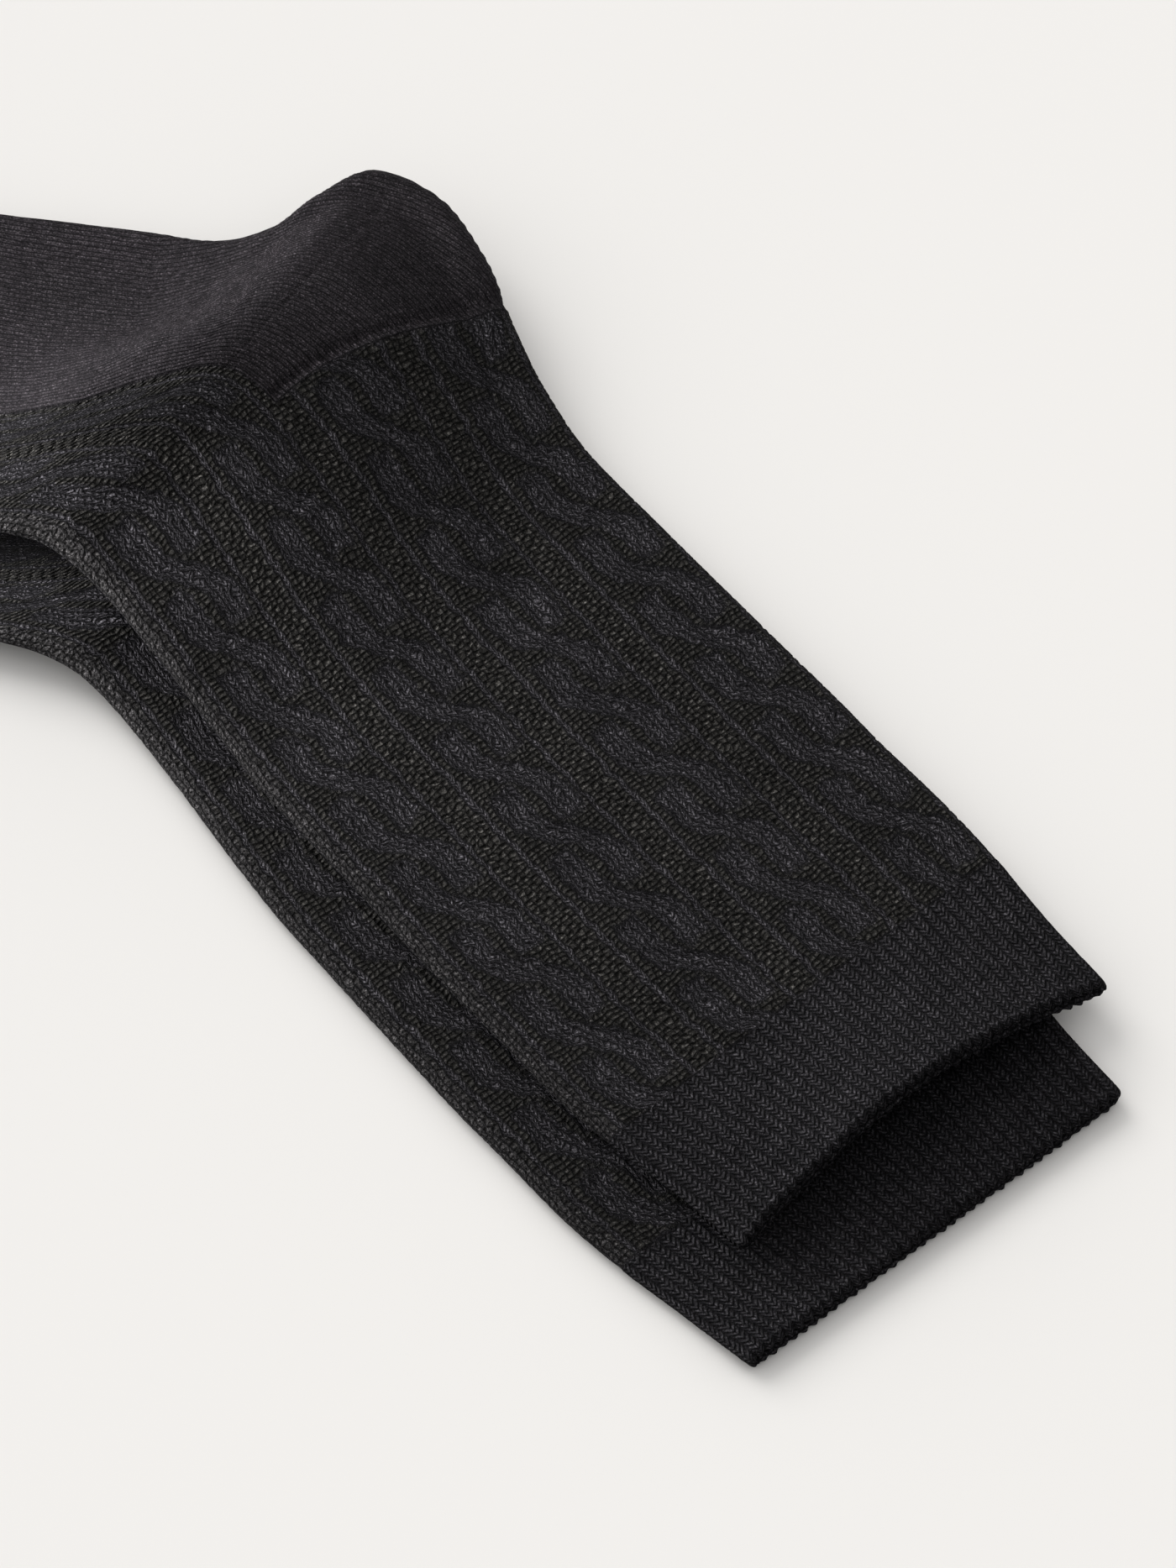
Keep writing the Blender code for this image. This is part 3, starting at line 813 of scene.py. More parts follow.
@dataclass
class Knitting:
    """One kind of knitting over a whole ground: its height, its stitch coordinates and masks."""

    height: np.ndarray
    wale: np.ndarray
    course: np.ndarray
    masks: dict[str, np.ndarray] = field(default_factory=dict)


@dataclass
class SockKnitter:
    """Works out the knitted relief of one sock and its stitch coordinates."""

    form: SockForm
    knit: Knit
    pattern_end: float
    seed: int
    loose: Looseness = Looseness()
    borders: Borders = Borders()

    def zones(self, row: np.ndarray, wale: np.ndarray, run: np.ndarray) -> dict[str, np.ndarray]:
        """Which kind of knitting each point has.

        Args:
            row: Row of each ring.
            wale: Wale number of each point.
            run: Distance from the band's end of each ring.

        Returns:
            Shares from 0 to 1 for the cuff band, the pattern, the heel ridge and the gore.
        """
        edges = self.borders
        heel = self.form.run_of("heel start")
        toe = self.form.run_of("toe start")
        on_leg = eased((heel - run) / edges.leg_fade)[:, None] * np.ones_like(wale)
        on_instep = eased((INSTEP_EDGE - wale) / edges.instep_fade) * np.ones((len(run), 1))
        started = eased((run + edges.band_overlap) / edges.band_fade)[:, None]
        ended = eased((toe - run) / edges.toe_fade)[:, None]
        ridge = hump(run, heel + edges.ridge_after, edges.ridge_half)[:, None] * (1.0 - on_instep)
        gore = hump(row, self.form.row_of("heel point") - edges.gore_before, edges.gore_half)[:, None]
        return {
            "cuff": (1.0 - started) * np.ones_like(wale),
            "pattern": started * ended * np.maximum(on_leg, on_instep),
            "ridge": ridge,
            "gore": gore * eased((wale - edges.gore_wale) / edges.gore_fade),
        }

    def wander(self, wale: np.ndarray, course: np.ndarray, fields: tuple[tuple[float, float, int], ...]) -> np.ndarray:
        """Sum of soft random fields, each given by its two sizes and its seed."""
        return sum(cloud(wale / wide, course / high, self.seed + more) for wide, high, more in fields)

    def patterned(self, ground: Ground) -> Knitting:
        """Cables, ribs and moss stitch of the leg and the instep.

        Args:
            ground: What it is knitted on.

        Returns:
            The knitting, with masks of its purl and its moss stitch.
        """
        knit, loose, wale, sway, drift = self.knit, self.loose, ground.wale, ground.sway, ground.drift
        pattern = ground.zones["pattern"]
        cable, strand = knit.cables(wale + loose.cable_drift * drift, ground.travel + loose.cable_sway * sway)
        in_strand = knit.chart_share(wale, Stitch.STRAND)
        place = np.mod(wale, REPEAT_WALES)
        follows = (cable > knit.strand_from) & (place > knit.strand_reach[0]) & (place < knit.strand_reach[1])
        shift = loose.leg * np.where(follows, loose.leg_strand, 1.0)
        pull, stay = knit.strand_pull
        leg_wale = np.where(follows, pull * strand + stay * wale, wale) + shift * drift
        leg_course = ground.course + shift * sway
        moss = knit.chart_share(wale + loose.moss_drift * drift, Stitch.MOSS)
        rib = knit.chart_share(wale + loose.rib_drift * drift, Stitch.KNIT)
        gain, more = knit.strand_cover
        purl = np.clip(1.0 - np.maximum(cable * gain * (in_strand + more), 0.0) - moss - rib, 0.0, 1.0)
        height = np.maximum(knit.cable_height * cable, knit.rib_height * rib + moss * knit.moss_rib)
        height = height + knit.stitch_height * knit.stitches(leg_wale, leg_course) * (1.0 - purl - 0.5 * moss)
        off_fold = knit.fold_beads[0] + knit.fold_beads[1] * eased(wale / knit.fold_wales)
        beads = knit.beads(leg_wale, leg_course, moss)
        height = height + (knit.moss_height * moss + knit.purl_height * purl) * beads * off_fold
        masks = {"purl": pattern * np.maximum(purl, moss * (1.0 - off_fold)), "moss": pattern * moss * off_fold}
        return Knitting(height, leg_wale, leg_course, masks)

    def banded(self, ground: Ground) -> Knitting:
        """Ribs of the cuff band.

        Args:
            ground: What it is knitted on.

        Returns:
            The knitting.
        """
        knit, loose = self.knit, self.loose
        wale = (ground.wale - knit.cuff_start) * WALE / knit.cuff_wale + loose.cuff_drift * ground.drift
        course = ground.course + loose.cuff_sway * ground.sway
        rib = knit.cuff_rib[0] - knit.cuff_rib[1] * np.cos(2.0 * math.pi * wale)
        return Knitting(knit.cuff_height * (rib + knit.cuff_stitch * knit.stitches(wale, course)), wale, course)

    def plain(self, ground: Ground) -> Knitting:
        """Plain knitting of heel, sole and toe, with the ridge and the gore of the heel.

        Args:
            ground: What it is knitted on.

        Returns:
            The knitting.
        """
        knit, loose, points = self.knit, self.loose, ground.points
        edge = int(np.argmin(np.abs(ground.wales - INSTEP_EDGE)))
        across = np.linalg.norm(np.diff(points, axis=1), axis=2)
        across = np.concatenate([np.zeros((len(points), 1)), np.cumsum(across, axis=1)], axis=1)
        wale = (across - across[:, edge:edge + 1]) / knit.plain_wale + loose.plain_drift * ground.drift
        height = knit.plain_height * (1.0 - np.cos(2.0 * math.pi * wale))
        ridge = knit.heel_ridge + knit.ridge_stitch * np.sin(2.0 * math.pi * ground.wale / knit.ridge_wale)
        height = height + ground.zones["ridge"] * ridge
        height = height + ground.zones["gore"] * knit.gore_height * (1.0 + np.sin(2.0 * math.pi * wale))
        return Knitting(height, wale, ground.course + loose.plain_sway * ground.sway)

    def relief(self, points: np.ndarray, row: np.ndarray, travel: np.ndarray, columns: Columns) -> Cloth:
        """Lifts the plain face of some rings by the knitting on it.

        Args:
            points: Points of the plain face, rows by columns.
            row: Row of each ring.
            travel: Distance of each point from the end of the band, along its own column.
            columns: The columns.

        Returns:
            The knitted face, the stitch coordinates and the masks.
        """
        loose = self.loose
        wales = columns.wale_numbers()
        over = columns.over_side()[None, :]
        run = np.interp(row, self.form.rows, self.form.along) - BAND
        wale = np.broadcast_to(wales[None, :], points.shape[:2])
        course = travel / self.knit.course
        zones = self.zones(row, wale, run)
        sway = self.wander(wale, course, loose.sway)
        drift = self.wander(wale, course, loose.drift)
        ground = Ground(points, wales, wale, travel, course, sway, drift, zones)
        leg, cuff, plain = self.patterned(ground), self.banded(ground), self.plain(ground)
        pattern, band = zones["pattern"], zones["cuff"]
        height = pattern * leg.height + band * cuff.height + (1.0 - pattern) * (1.0 - band) * plain.height
        pressed = eased((self.pattern_end * REPEAT_WALES - wale) / self.knit.fold_wales)
        wide, high, more = loose.swell
        swell = loose.swell_height * cloud(wale / wide, run[:, None] / high, self.seed + more) * pressed * over
        lift = height * (over * np.maximum(pressed, 0.6 * band)) + swell
        stitch = [np.where(band > 0.5, a, np.where(pattern > 0.5, b, c))
                  for a, b, c in ((cuff.wale, leg.wale, plain.wale), (cuff.course, leg.course, plain.course))]
        masks = {
            **leg.masks,
            "plain": (1.0 - pattern) * (1.0 - band),
            "cuff": band,
            # How high the knitting stands; the finish uses it to paint raised parts lighter and low parts darker, as
            # painted light and shade.
            "raised": np.clip(height / self.knit.full_height, 0.0, 1.0),
        }
        return Cloth(points + normals_of(points) * lift[..., None], np.stack(stitch, axis=-1), masks)


def normals_of(points: np.ndarray) -> np.ndarray:
    """Directions out of a tube.

    Args:
        points: Points of the tube, rings by columns.

    Returns:
        The outward direction at each of them.
    """
    along = np.gradient(points, axis=0)
    around = np.roll(points, -1, axis=1) - np.roll(points, 1, axis=1)
    out = np.cross(along, around)
    return out / np.maximum(np.linalg.norm(out, axis=2, keepdims=True), 1e-12)


def new_object(name: str, data: bpy.types.ID) -> bpy.types.Object:
    """Adds an object to the scene.

    Args:
        name: Its name.
        data: Its mesh, light or camera.

    Returns:
        The object.
    """
    made = bpy.data.objects.new(name, data)
    bpy.context.scene.collection.objects.link(made)
    return made


def new_piece(name: str, layer: Layer, points: np.ndarray, faces: np.ndarray,
              material: bpy.types.Material) -> bpy.types.Object:
    """Makes one piece of a sock, tied to the sock's solid.

    Args:
        name: Its name.
        layer: Which sock it belongs to.
        points: Its points in the socks' plan.
        faces: Numbers of the corners of each face.
        material: The finish.

    Returns:
        The new object.
    """
    places = (points.reshape(-1, 3) - np.array([*ORIGIN, 0.0])) * MM
    mesh = bpy.data.meshes.new(name)
    mesh.vertices.add(len(places))
    mesh.vertices.foreach_set("co", places.reshape(-1).astype(np.float32))
    mesh.loops.add(faces.size)
    mesh.loops.foreach_set("vertex_index", faces.reshape(-1).astype(np.int32))
    mesh.polygons.add(len(faces))
    mesh.polygons.foreach_set("loop_start", np.arange(0, faces.size, faces.shape[1], dtype=np.int32))
    mesh.update(calc_edges=True)
    mesh.materials.append(material)
    made = new_object(name, mesh)
    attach(made, "root")
    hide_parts(layer.value)
    LOG.info("%s: %d triangles", name, len(faces) * (faces.shape[1] - 2))
    return made


@dataclass
class TubePiece:
    """One length of a sock's tube as a mesh of its own."""

    name: str
    layer: Layer
    flat: tuple[float, float]
    rests_on: str

    def make(self, cloth: Cloth, normals: np.ndarray, material: bpy.types.Material) -> None:
        """Makes the mesh from a grid of rings, tied to the sock's solid.

        Args:
            cloth: Points, stitch coordinates and masks of the grid.
            normals: Outward direction at each point.
            material: The finish.
        """
        rings, columns = cloth.points.shape[:2]
        number = np.arange(rings * columns).reshape(rings, columns)
        here = number[:-1]
        after = number[1:]
        quads = np.stack([here, after, np.roll(after, -1, axis=1), np.roll(here, -1, axis=1)], axis=-1)
        quads = quads.reshape(-1, 4)
        made = new_piece(self.name, self.layer, cloth.points, quads, material)
        mesh = made.data
        mesh.polygons.foreach_set("use_smooth", np.ones(len(quads), dtype=bool))
        mesh.validate()
        layer = mesh.uv_layers.new(name="knit")
        stitch = cloth.stitch.reshape(-1, 2)[quads.reshape(-1)]
        layer.data.foreach_set("uv", stitch.reshape(-1).astype(np.float32))
        for mask, values in cloth.masks.items():
            attribute = mesh.attributes.new(mask, "FLOAT", "POINT")
            attribute.data.foreach_set("value", values.reshape(-1).astype(np.float32))
        mesh.normals_split_custom_set_from_vertices(normals.reshape(-1, 3).astype(np.float32))


class Board:
    """Short way to lay out nodes. A value is a number, a colour or the output of another node."""

    def __init__(self, tree: bpy.types.NodeTree) -> None:
        """Takes the node tree that is filled."""
        self.tree = tree

    def feed(self, socket: bpy.types.NodeSocket, value: object) -> None:
        """Links an output to a socket, or sets a number or colour on it.

        Args:
            socket: An input of a node.
            value: What it gets.
        """
        if isinstance(value, bpy.types.NodeSocket):
            self.tree.links.new(value, socket)
        else:
            socket.default_value = value

    def node(self, kind: str, *values: object, **settings: object) -> bpy.types.Node:
        """Adds a node.

        Args:
            kind: Its type.
            values: What its inputs get, from the first one on.
            settings: Its settings by name.

        Returns:
            The node.
        """
        node = self.tree.nodes.new(kind)
        for name, setting in settings.items():
            setattr(node, name, setting)
        for socket, value in zip(node.inputs, values):
            self.feed(socket, value)
        return node

    def math(self, operation: str, *values: object) -> bpy.types.NodeSocket:
        """Output of one math node."""
        return self.node("ShaderNodeMath", *values, operation=operation).outputs[0]

    def times(self, first: object, second: object) -> bpy.types.NodeSocket:
        """One value times another."""
        return self.math("MULTIPLY", first, second)

    def line(self, value: object, slope: object, start: object) -> bpy.types.NodeSocket:
        """A value times a slope, plus a start."""
        return self.math("MULTIPLY_ADD", value, slope, start)

    def wave(self, value: object, turns: float = 1.0) -> bpy.types.NodeSocket:
        """Sine of a value, counted in half turns."""
        return self.math("SINE", self.times(value, turns * math.pi))

    def mask(self, name: str) -> bpy.types.NodeSocket:
        """Output of a number kept on the mesh."""
        return self.node("ShaderNodeAttribute", attribute_name=name).outputs["Fac"]

    def mix(self, share: object, first: object, second: object) -> bpy.types.NodeSocket:
        """Mix of two colours.

        Args:
            share: How much of the second.
            first: The first colour.
            second: The second colour.

        Returns:
            The output with the mixed colour.
        """
        node = self.node("ShaderNodeMix", share, data_type="RGBA")
        self.feed(node.inputs[6], first)
        self.feed(node.inputs[7], second)
        return node.outputs[2]

    def dim(self, colour: object, by: object) -> bpy.types.NodeSocket:
        """Colour times a number.

        Args:
            colour: The colour.
            by: The number.

        Returns:
            The output with the dimmed colour.
        """
        node = self.node("ShaderNodeVectorMath", colour, operation="SCALE")
        self.feed(node.inputs["Scale"], by)
        return node.outputs[0]

    def noise(self, place: bpy.types.NodeSocket, scale: float, detail: float) -> bpy.types.NodeSocket:
        """Output of one noise texture.

        Args:
            place: Where it is read.
            scale: How many hills to a unit.
            detail: How many finer layers it has.

        Returns:
            The output with its strength.
        """
        node = self.node("ShaderNodeTexNoise")
        for name, value in (("Vector", place), ("Scale", scale), ("Detail", detail)):
            self.feed(node.inputs[name], value)
        return node.outputs["Fac"]


@dataclass(frozen=True)
class PlainFinish:
    """A matte finish of one colour."""

    name: str
    colour: tuple[float, float, float, float]
    roughness: float = 0.9
    specular: float = 0.1

    def material(self) -> bpy.types.Material:
        """The finish as a material.

        Returns:
            The new material.
        """
        made = bpy.data.materials.new(self.name)
        made.use_nodes = True
        surface = made.node_tree.nodes["Principled BSDF"]
        surface.inputs["Base Color"].default_value = self.colour
        surface.inputs["Roughness"].default_value = self.roughness
        surface.inputs["Specular IOR Level"].default_value = self.specular
        return made


@dataclass(frozen=True)
class YarnFinish(PlainFinish):
    """Matte black cotton yarn, knitted: colour by kind of stitch, with painted shade that darkens it between the
    stitches and the wales and a painted highlight on the raised parts.

    Pairs of numbers are a slope and a start, by which a mask or a random number works on the shade or on the
    height of a stitch. Only speck_range is from and to.
    """

    colour: tuple[float, float, float, float] = (0.0162, 0.0153, 0.0169, 1.0)
    roughness: float = 0.7
    specular: float = 0.02
    purl_colour: tuple[float, float, float, float] = (0.0122, 0.0116, 0.0108, 1.0)
    plain_colour: tuple[float, float, float, float] = (0.0130, 0.0114, 0.0127, 1.0)
    sheen: float = 0.006
    sheen_roughness: float = 0.45
    sheen_tint: tuple[float, float, float, float] = (0.75, 0.78, 0.9, 1.0)
    stitch_depth: float = 0.0004
    fibre_depth: float = 0.5
    fibre_scale: float = 3000.0
    cloud_scale: float = 45.0
    # Painted shade: the colour darkens with the height of the knitting, so it is darkest in the low gaps between
    # stitches.
    hollow_shade: tuple[float, float] = (1.7, 0.24)
    by_speck: tuple[float, float] = (2.0, 0.72)
    by_stitch: tuple[float, float] = (0.65, 0.67)
    by_cloud: tuple[float, float] = (0.6, 0.7)
    # Painted highlight: raised parts of the knitting get a lighter colour.
    raised_light: tuple[float, float] = (0.35, 0.8)
    by_cuff: tuple[float, float] = (-0.42, 1.0)
    speck_range: tuple[float, float] = (0.5, 0.72)
    gap: tuple[float, float] = (-0.1, 0.9)
    gap_cuff: float = -0.2
    gap_round: float = 0.9
    gap_mean: float = 0.75
    leg: tuple[float, float] = (0.55, 0.45)
    stitch_round: float = 0.8
    stitch_gain: tuple[float, float] = (-1.3, 1.6)
    stitch_base: tuple[float, float] = (0.8, 0.05)
    low_bead: tuple[float, float] = (-0.95, -0.12)
    bead_gain: tuple[float, float] = (0.8, 1.0)

    def material(self) -> bpy.types.Material:
        """The finish as a material.

        Returns:
            The new material.
        """
        made = super().material()
        board = Board(made.node_tree)
        surface = made.node_tree.nodes["Principled BSDF"]
        uv = board.node("ShaderNodeUVMap", uv_map="knit")
        wale, course, _ = board.node("ShaderNodeSeparateXYZ", uv.outputs[0]).outputs
        beaded = board.math("MAXIMUM", board.mask("purl"), board.mask("moss"))
        knitted = board.times(self.knit_height(board, wale, course), board.math("SUBTRACT", 1.0, beaded))
        height = board.math("ADD", knitted, board.times(self.bead_height(board, wale, course), beaded))
        place = board.node("ShaderNodeTexCoord").outputs["Object"]
        fibre = board.noise(place, self.fibre_scale, 1.0)
        cloudy = board.noise(place, self.cloud_scale, 2.0)
        speck = board.node("ShaderNodeMapRange", fibre, *self.speck_range, 0.0, 1.0).outputs[0]
        colour = board.mix(beaded, self.colour, self.purl_colour)
        colour = board.mix(board.mask("plain"), colour, self.plain_colour)
        # Painted shade: the colour darkens where the knitting is low, in the gaps between stitches, wales and beads.
        shade = board.line(height, *self.hollow_shade)
        # Specks, stitches and clouds vary the tone at random; raised parts get a painted highlight; the cuff band is
        # made darker.
        for value, pair in (
            (speck, self.by_speck),
            (self.each_stitch(board, wale, course), self.by_stitch),
            (cloudy, self.by_cloud),
            (board.mask("raised"), self.raised_light),
            (board.mask("cuff"), self.by_cuff),
        ):
            shade = board.times(shade, board.line(value, *pair))
        board.feed(surface.inputs["Base Color"], board.dim(colour, shade))
        bump = board.node("ShaderNodeBump")
        bump.inputs["Strength"].default_value = 1.0
        bump.inputs["Distance"].default_value = self.stitch_depth
        board.feed(bump.inputs["Height"], board.line(fibre, self.fibre_depth, height))
        board.feed(surface.inputs["Normal"], bump.outputs[0])
        surface.inputs["Sheen Weight"].default_value = self.sheen
        surface.inputs["Sheen Roughness"].default_value = self.sheen_roughness
        surface.inputs["Sheen Tint"].default_value = self.sheen_tint
        return made

    def knit_height(self, board: Board, wale: object, course: object) -> bpy.types.NodeSocket:
        """Knit stitches: two slanting legs to each wale, with low gaps as the wales stand apart, where the finish
        paints shade.

        Args:
            board: Where the nodes go.
            wale: Output with the wale number.
            course: Output with the course number.

        Returns:
            The output with their height.
        """
        plain = board.mask("plain")
        apart = board.line(board.mask("cuff"), self.gap_cuff, board.line(plain, *self.gap))
        turn = board.math("FRACT", wale)
        aside = board.math("ABSOLUTE", board.math("SUBTRACT", turn, 0.5))
        ridge = board.math("POWER", board.wave(turn), self.gap_round)
        ridge = board.line(board.math("SUBTRACT", ridge, self.gap_mean), apart, self.gap_mean)
        leg = board.line(board.wave(aside, 2.0), *self.leg)
        along = board.math("FRACT", board.line(aside, -LEG_LEAN, course))
        segment = board.math("POWER", board.wave(along), self.stitch_round)
        gain = board.line(plain, *self.stitch_gain)
        base = board.line(plain, *self.stitch_base)
        return board.times(board.times(ridge, leg), board.line(segment, gain, base))

    def bead_height(self, board: Board, wale: object, course: object) -> bpy.types.NodeSocket:
        """Purl and moss stitches: one bead to a stitch, every other one lower.

        Args:
            board: Where the nodes go.
            wale: Output with the wale number.
            course: Output with the course number.

        Returns:
            The output with their height.
        """
        across = board.math("ABSOLUTE", board.wave(wale))
        along = board.math("ABSOLUTE", board.wave(course))
        both = board.math("POWER", board.times(across, along), self.stitch_round)
        count = board.math("ADD", board.math("FLOOR", wale), board.math("FLOOR", course))
        odd = board.math("FLOORED_MODULO", count, 2.0)
        moss = board.mask("moss")
        lower = board.times(odd, board.line(moss, *self.low_bead))
        return board.times(both, board.math("ADD", lower, board.line(moss, *self.bead_gain)))

    def each_stitch(self, board: Board, wale: object, course: object) -> bpy.types.NodeSocket:
        """A random number for each leg of each stitch.

        Args:
            board: Where the nodes go.
            wale: Output with the wale number.
            course: Output with the course number.

        Returns:
            The output with a number from 0 to 1.
        """
        leg = board.math("FLOOR", board.times(wale, 2.0))
        join = board.node("ShaderNodeCombineXYZ", leg, board.math("FLOOR", course))
        node = board.node("ShaderNodeTexWhiteNoise", noise_dimensions="2D")
        board.feed(node.inputs["Vector"], join.outputs[0])
        return node.outputs["Value"]


@dataclass
class Fuzz:
    """Loose ends of fibre that stand out of a sock's knitting, each drawn as one thin blade.

    Most of them are short: their share of the longest is a random number to the power of mostly_short.
    """

    name: str
    layer: Layer
    seed: int
    per_square: float = 1.5
    longest: float = 1.1
    width: float = 0.055
    shares: tuple[float, float] = (0.25, 1.0)
    mostly_short: float = 1.5
    leans: tuple[float, float] = (0.3, 1.3)
    shown_from: float = 0.3
    blades: list[np.ndarray] = field(default_factory=list)

    def grow(self, cloth: Cloth, normals: np.ndarray, over: np.ndarray, more: float) -> None:
        """Sets blades at random over the shown side of some cloth.

        Args:
            cloth: The cloth that they stand on.
            normals: Outward direction at each of its points.
            over: 1 on columns of the shown side.
            more: How much thicker they stand here than elsewhere.
        """
        random = np.random.default_rng(self.seed + len(self.blades))
        points = cloth.points
        along = points[1:, :-1] - points[:-1, :-1]
        around = points[:-1, 1:] - points[:-1, :-1]
        areas = np.linalg.norm(np.cross(along, around), axis=2) * (over[None, :-1] > self.shown_from)
        count = int(areas.sum() * self.per_square * more)
        cells = random.choice(areas.size, count, p=areas.reshape(-1) / areas.sum())
        ring, column = np.divmod(cells, areas.shape[1])
        root = points[ring, column] + along[ring, column] * random.random((count, 1))
        root = root + around[ring, column] * random.random((count, 1))
        out = normals[ring, column]
        way = random.normal(size=(count, 3))
        flat = way - out * np.sum(way * out, axis=1, keepdims=True)
        flat = flat / np.linalg.norm(flat, axis=1, keepdims=True)
        lean = random.uniform(*self.leans, (count, 1))
        way = out * np.cos(lean) + flat * np.sin(lean)
        size = self.longest * random.uniform(*self.shares, (count, 1)) ** self.mostly_short
        half = np.cross(way, out) * 0.5
        half = half / np.maximum(np.linalg.norm(half, axis=1, keepdims=True), 1e-9) * 0.5 * self.width
        self.blades.append(np.stack([root - half, root + half, root + way * size], axis=1))

    def make(self, material: bpy.types.Material) -> None:
        """Makes all blades as one piece tied to the sock's solid."""
        corners = np.concatenate(self.blades)
        new_piece(self.name, self.layer, corners, np.arange(3 * len(corners)).reshape(-1, 3), material)


@dataclass
class Sock:
    """One sock of the pair, drawn in lengths from the cuff to the toe."""

    layer: Layer
    form: SockForm
    columns: Columns
    cuff_columns: Columns
    edge_columns: Columns
    material: bpy.types.Material
    fibre: bpy.types.Material
    pattern_end: float
    rests_on: str
    step: float
    foot_step: float
    seed: int
    foot_fuzz: float = 0.4
    edge_fuzz: float = 4.0
    knit: Knit = Knit()
    travels: dict[Columns, np.ndarray] = field(default_factory=dict)
    fuzz: Fuzz = field(init=False)

    def __post_init__(self) -> None:
        """Starts the loose fibres."""
        self.fuzz = Fuzz(f"{self.layer.value}_fibres", self.layer, self.seed + 7)

    def build(self) -> None:
        """Builds all lengths of the sock, then its loose fibres."""
        self.cuff()
        row = self.form.row_of
        leg = self.form.rows_between(row("band end"), row("heel start"), self.step)
        middle = leg[len(leg) // 2]
        self.length("leg_low", row("band end"), middle, self.step)
        self.length("leg_high", middle, row("heel start"), self.step)
        self.length("heel", row("heel start"), row("foot high"), self.step)
        self.length("foot", row("foot high"), row("toe start"), self.foot_step, self.foot_fuzz)
        self.toe()
        self.fuzz.make(self.fibre)

    def dressed(self, rows: np.ndarray, columns: Columns) -> tuple[Cloth, np.ndarray]:
        """Knitted cloth of some rings, worked out with a ring more at each end.

        Args:
            rows: Which sections.
            columns: The columns.

        Returns:
            The cloth and the outward direction at each of its points.
        """
        before = max(0.0, 2.0 * rows[0] - rows[1])
        after = min(self.form.row_before_tip(0.0), 2.0 * rows[-1] - rows[-2])
        padded = np.concatenate([[before], rows, [after]])
        plain = columns.rings(self.form, padded)
        if columns not in self.travels:
            self.travels[columns] = columns.travel(self.form)
        travel = read_between(self.travels[columns], padded / GRID)
        cloth = SockKnitter(self.form, self.knit, self.pattern_end, self.seed).relief(plain, padded, travel, columns)
        return cloth.part(slice(1, -1)), normals_of(cloth.points)[1:-1]

    def make(self, part: str, cloth: Cloth, normals: np.ndarray) -> None:
        """Makes one length of the sock.

        Args:
            part: Its name.
            cloth: The cloth.
            normals: Outward direction at each of its points.
        """
        flat = (GIRTH, PART_LENGTHS[part])
        piece = TubePiece(f"{self.layer.value}_{part}", self.layer, flat, self.rests_on)
        piece.make(cloth, normals, self.material)

    def length(self, part: str, first: float, last: float, step: float, fuzz: float = 1.0) -> None:
        """Makes the length between two rows.

        Args:
            part: Its name.
            first: The first row.
            last: The last row.
            step: About how far apart its rings lie.
            fuzz: How much thicker the loose fibres stand here than elsewhere.
        """
        columns = self.cuff_columns if part == "cuff" else self.columns
        cloth, normals = self.dressed(self.form.rows_between(first, last, step), columns)
        self.make(part, cloth, normals)
        self.fuzz.grow(cloth, normals, columns.over_side(), fuzz)

    def toe(self) -> None:
        """Makes the toe, whose last ring is shut."""
        before_tip = self.form.row_before_tip
        rows = self.form.rows_between(self.form.row_of("toe start"), before_tip(TOE_ROUND), self.foot_step)
        turns = [FOLD_RADIUS * (1.0 - math.cos(math.radians(turn))) for turn in self.columns.over_turns[::-1]]
        rows = np.concatenate([rows, [before_tip(turn) for turn in turns]])
        self.make("toe", *self.dressed(rows, self.columns))

    def cuff(self) -> None:
        """Makes the cuff band, and its rolled edge with the start of the lining as a piece of its own."""
        end = self.form.row_of("band end")
        band = self.form.rows_between(0.0, end, self.step)
        self.length("cuff", 0.0, end, self.step)
        columns = self.edge_columns
        edge, _ = self.dressed(band[:2], columns)
        plain = columns.ring(self.form, 0.0, 0.0)
        way = np.array([*self.form.leg_way, 0.0])
        inside = np.array(INSIDE)
        deep = np.interp(inside, np.linspace(0.0, BAND, len(band)), band)
        insets = WALL + (ROLL - WALL) * eased(1.0 - inside / ROLL_LENGTH)
        lining = np.stack([columns.ring(self.form, float(place), float(inset)) for place, inset in zip(deep, insets)])
        wales = columns.wale_numbers()
        waves = np.cos(2.0 * math.pi * (wales - self.knit.cuff_start) * WALE / self.knit.cuff_wale)
        bumps = EDGE_BUMP * (0.5 - 0.5 * waves) * (1.0 + 0.5 * cloud(wales / EDGE_WANDER, wales * 0.0, self.seed + 5))
        lip = []
        for turn in LIP_TURNS:
            angle = math.radians(turn)
            ring = columns.ring(self.form, 0.0, 0.5 * ROLL * (1.0 - math.cos(angle)))
            out = (LIP + bumps) * math.sin(angle)
            lip.append(ring - way * out[:, None] + (edge.points[0] - plain) * max(0.0, math.cos(angle)))
        points = np.concatenate([lining, np.stack(lip), edge.points[:1]])
        directions = normals_of(np.concatenate([points, edge.points[1:2]]))[:-1]
        count = len(points)
        course = edge.stitch[:1, :, 1] - np.linspace(count - 1, 0, count)[:, None] * 0.5
        stitch = np.stack([np.repeat(edge.stitch[:1, :, 0], count, axis=0), course], axis=-1)
        masks = {name: np.repeat(values[:1], count, axis=0) for name, values in edge.masks.items()}
        rolled = Cloth(points, stitch, masks)
        self.make("cuff_edge", rolled, directions)
        seen = slice(len(lining) - 1, None)
        self.fuzz.grow(rolled.part(seen), directions[seen], np.ones(points.shape[1]), self.edge_fuzz)


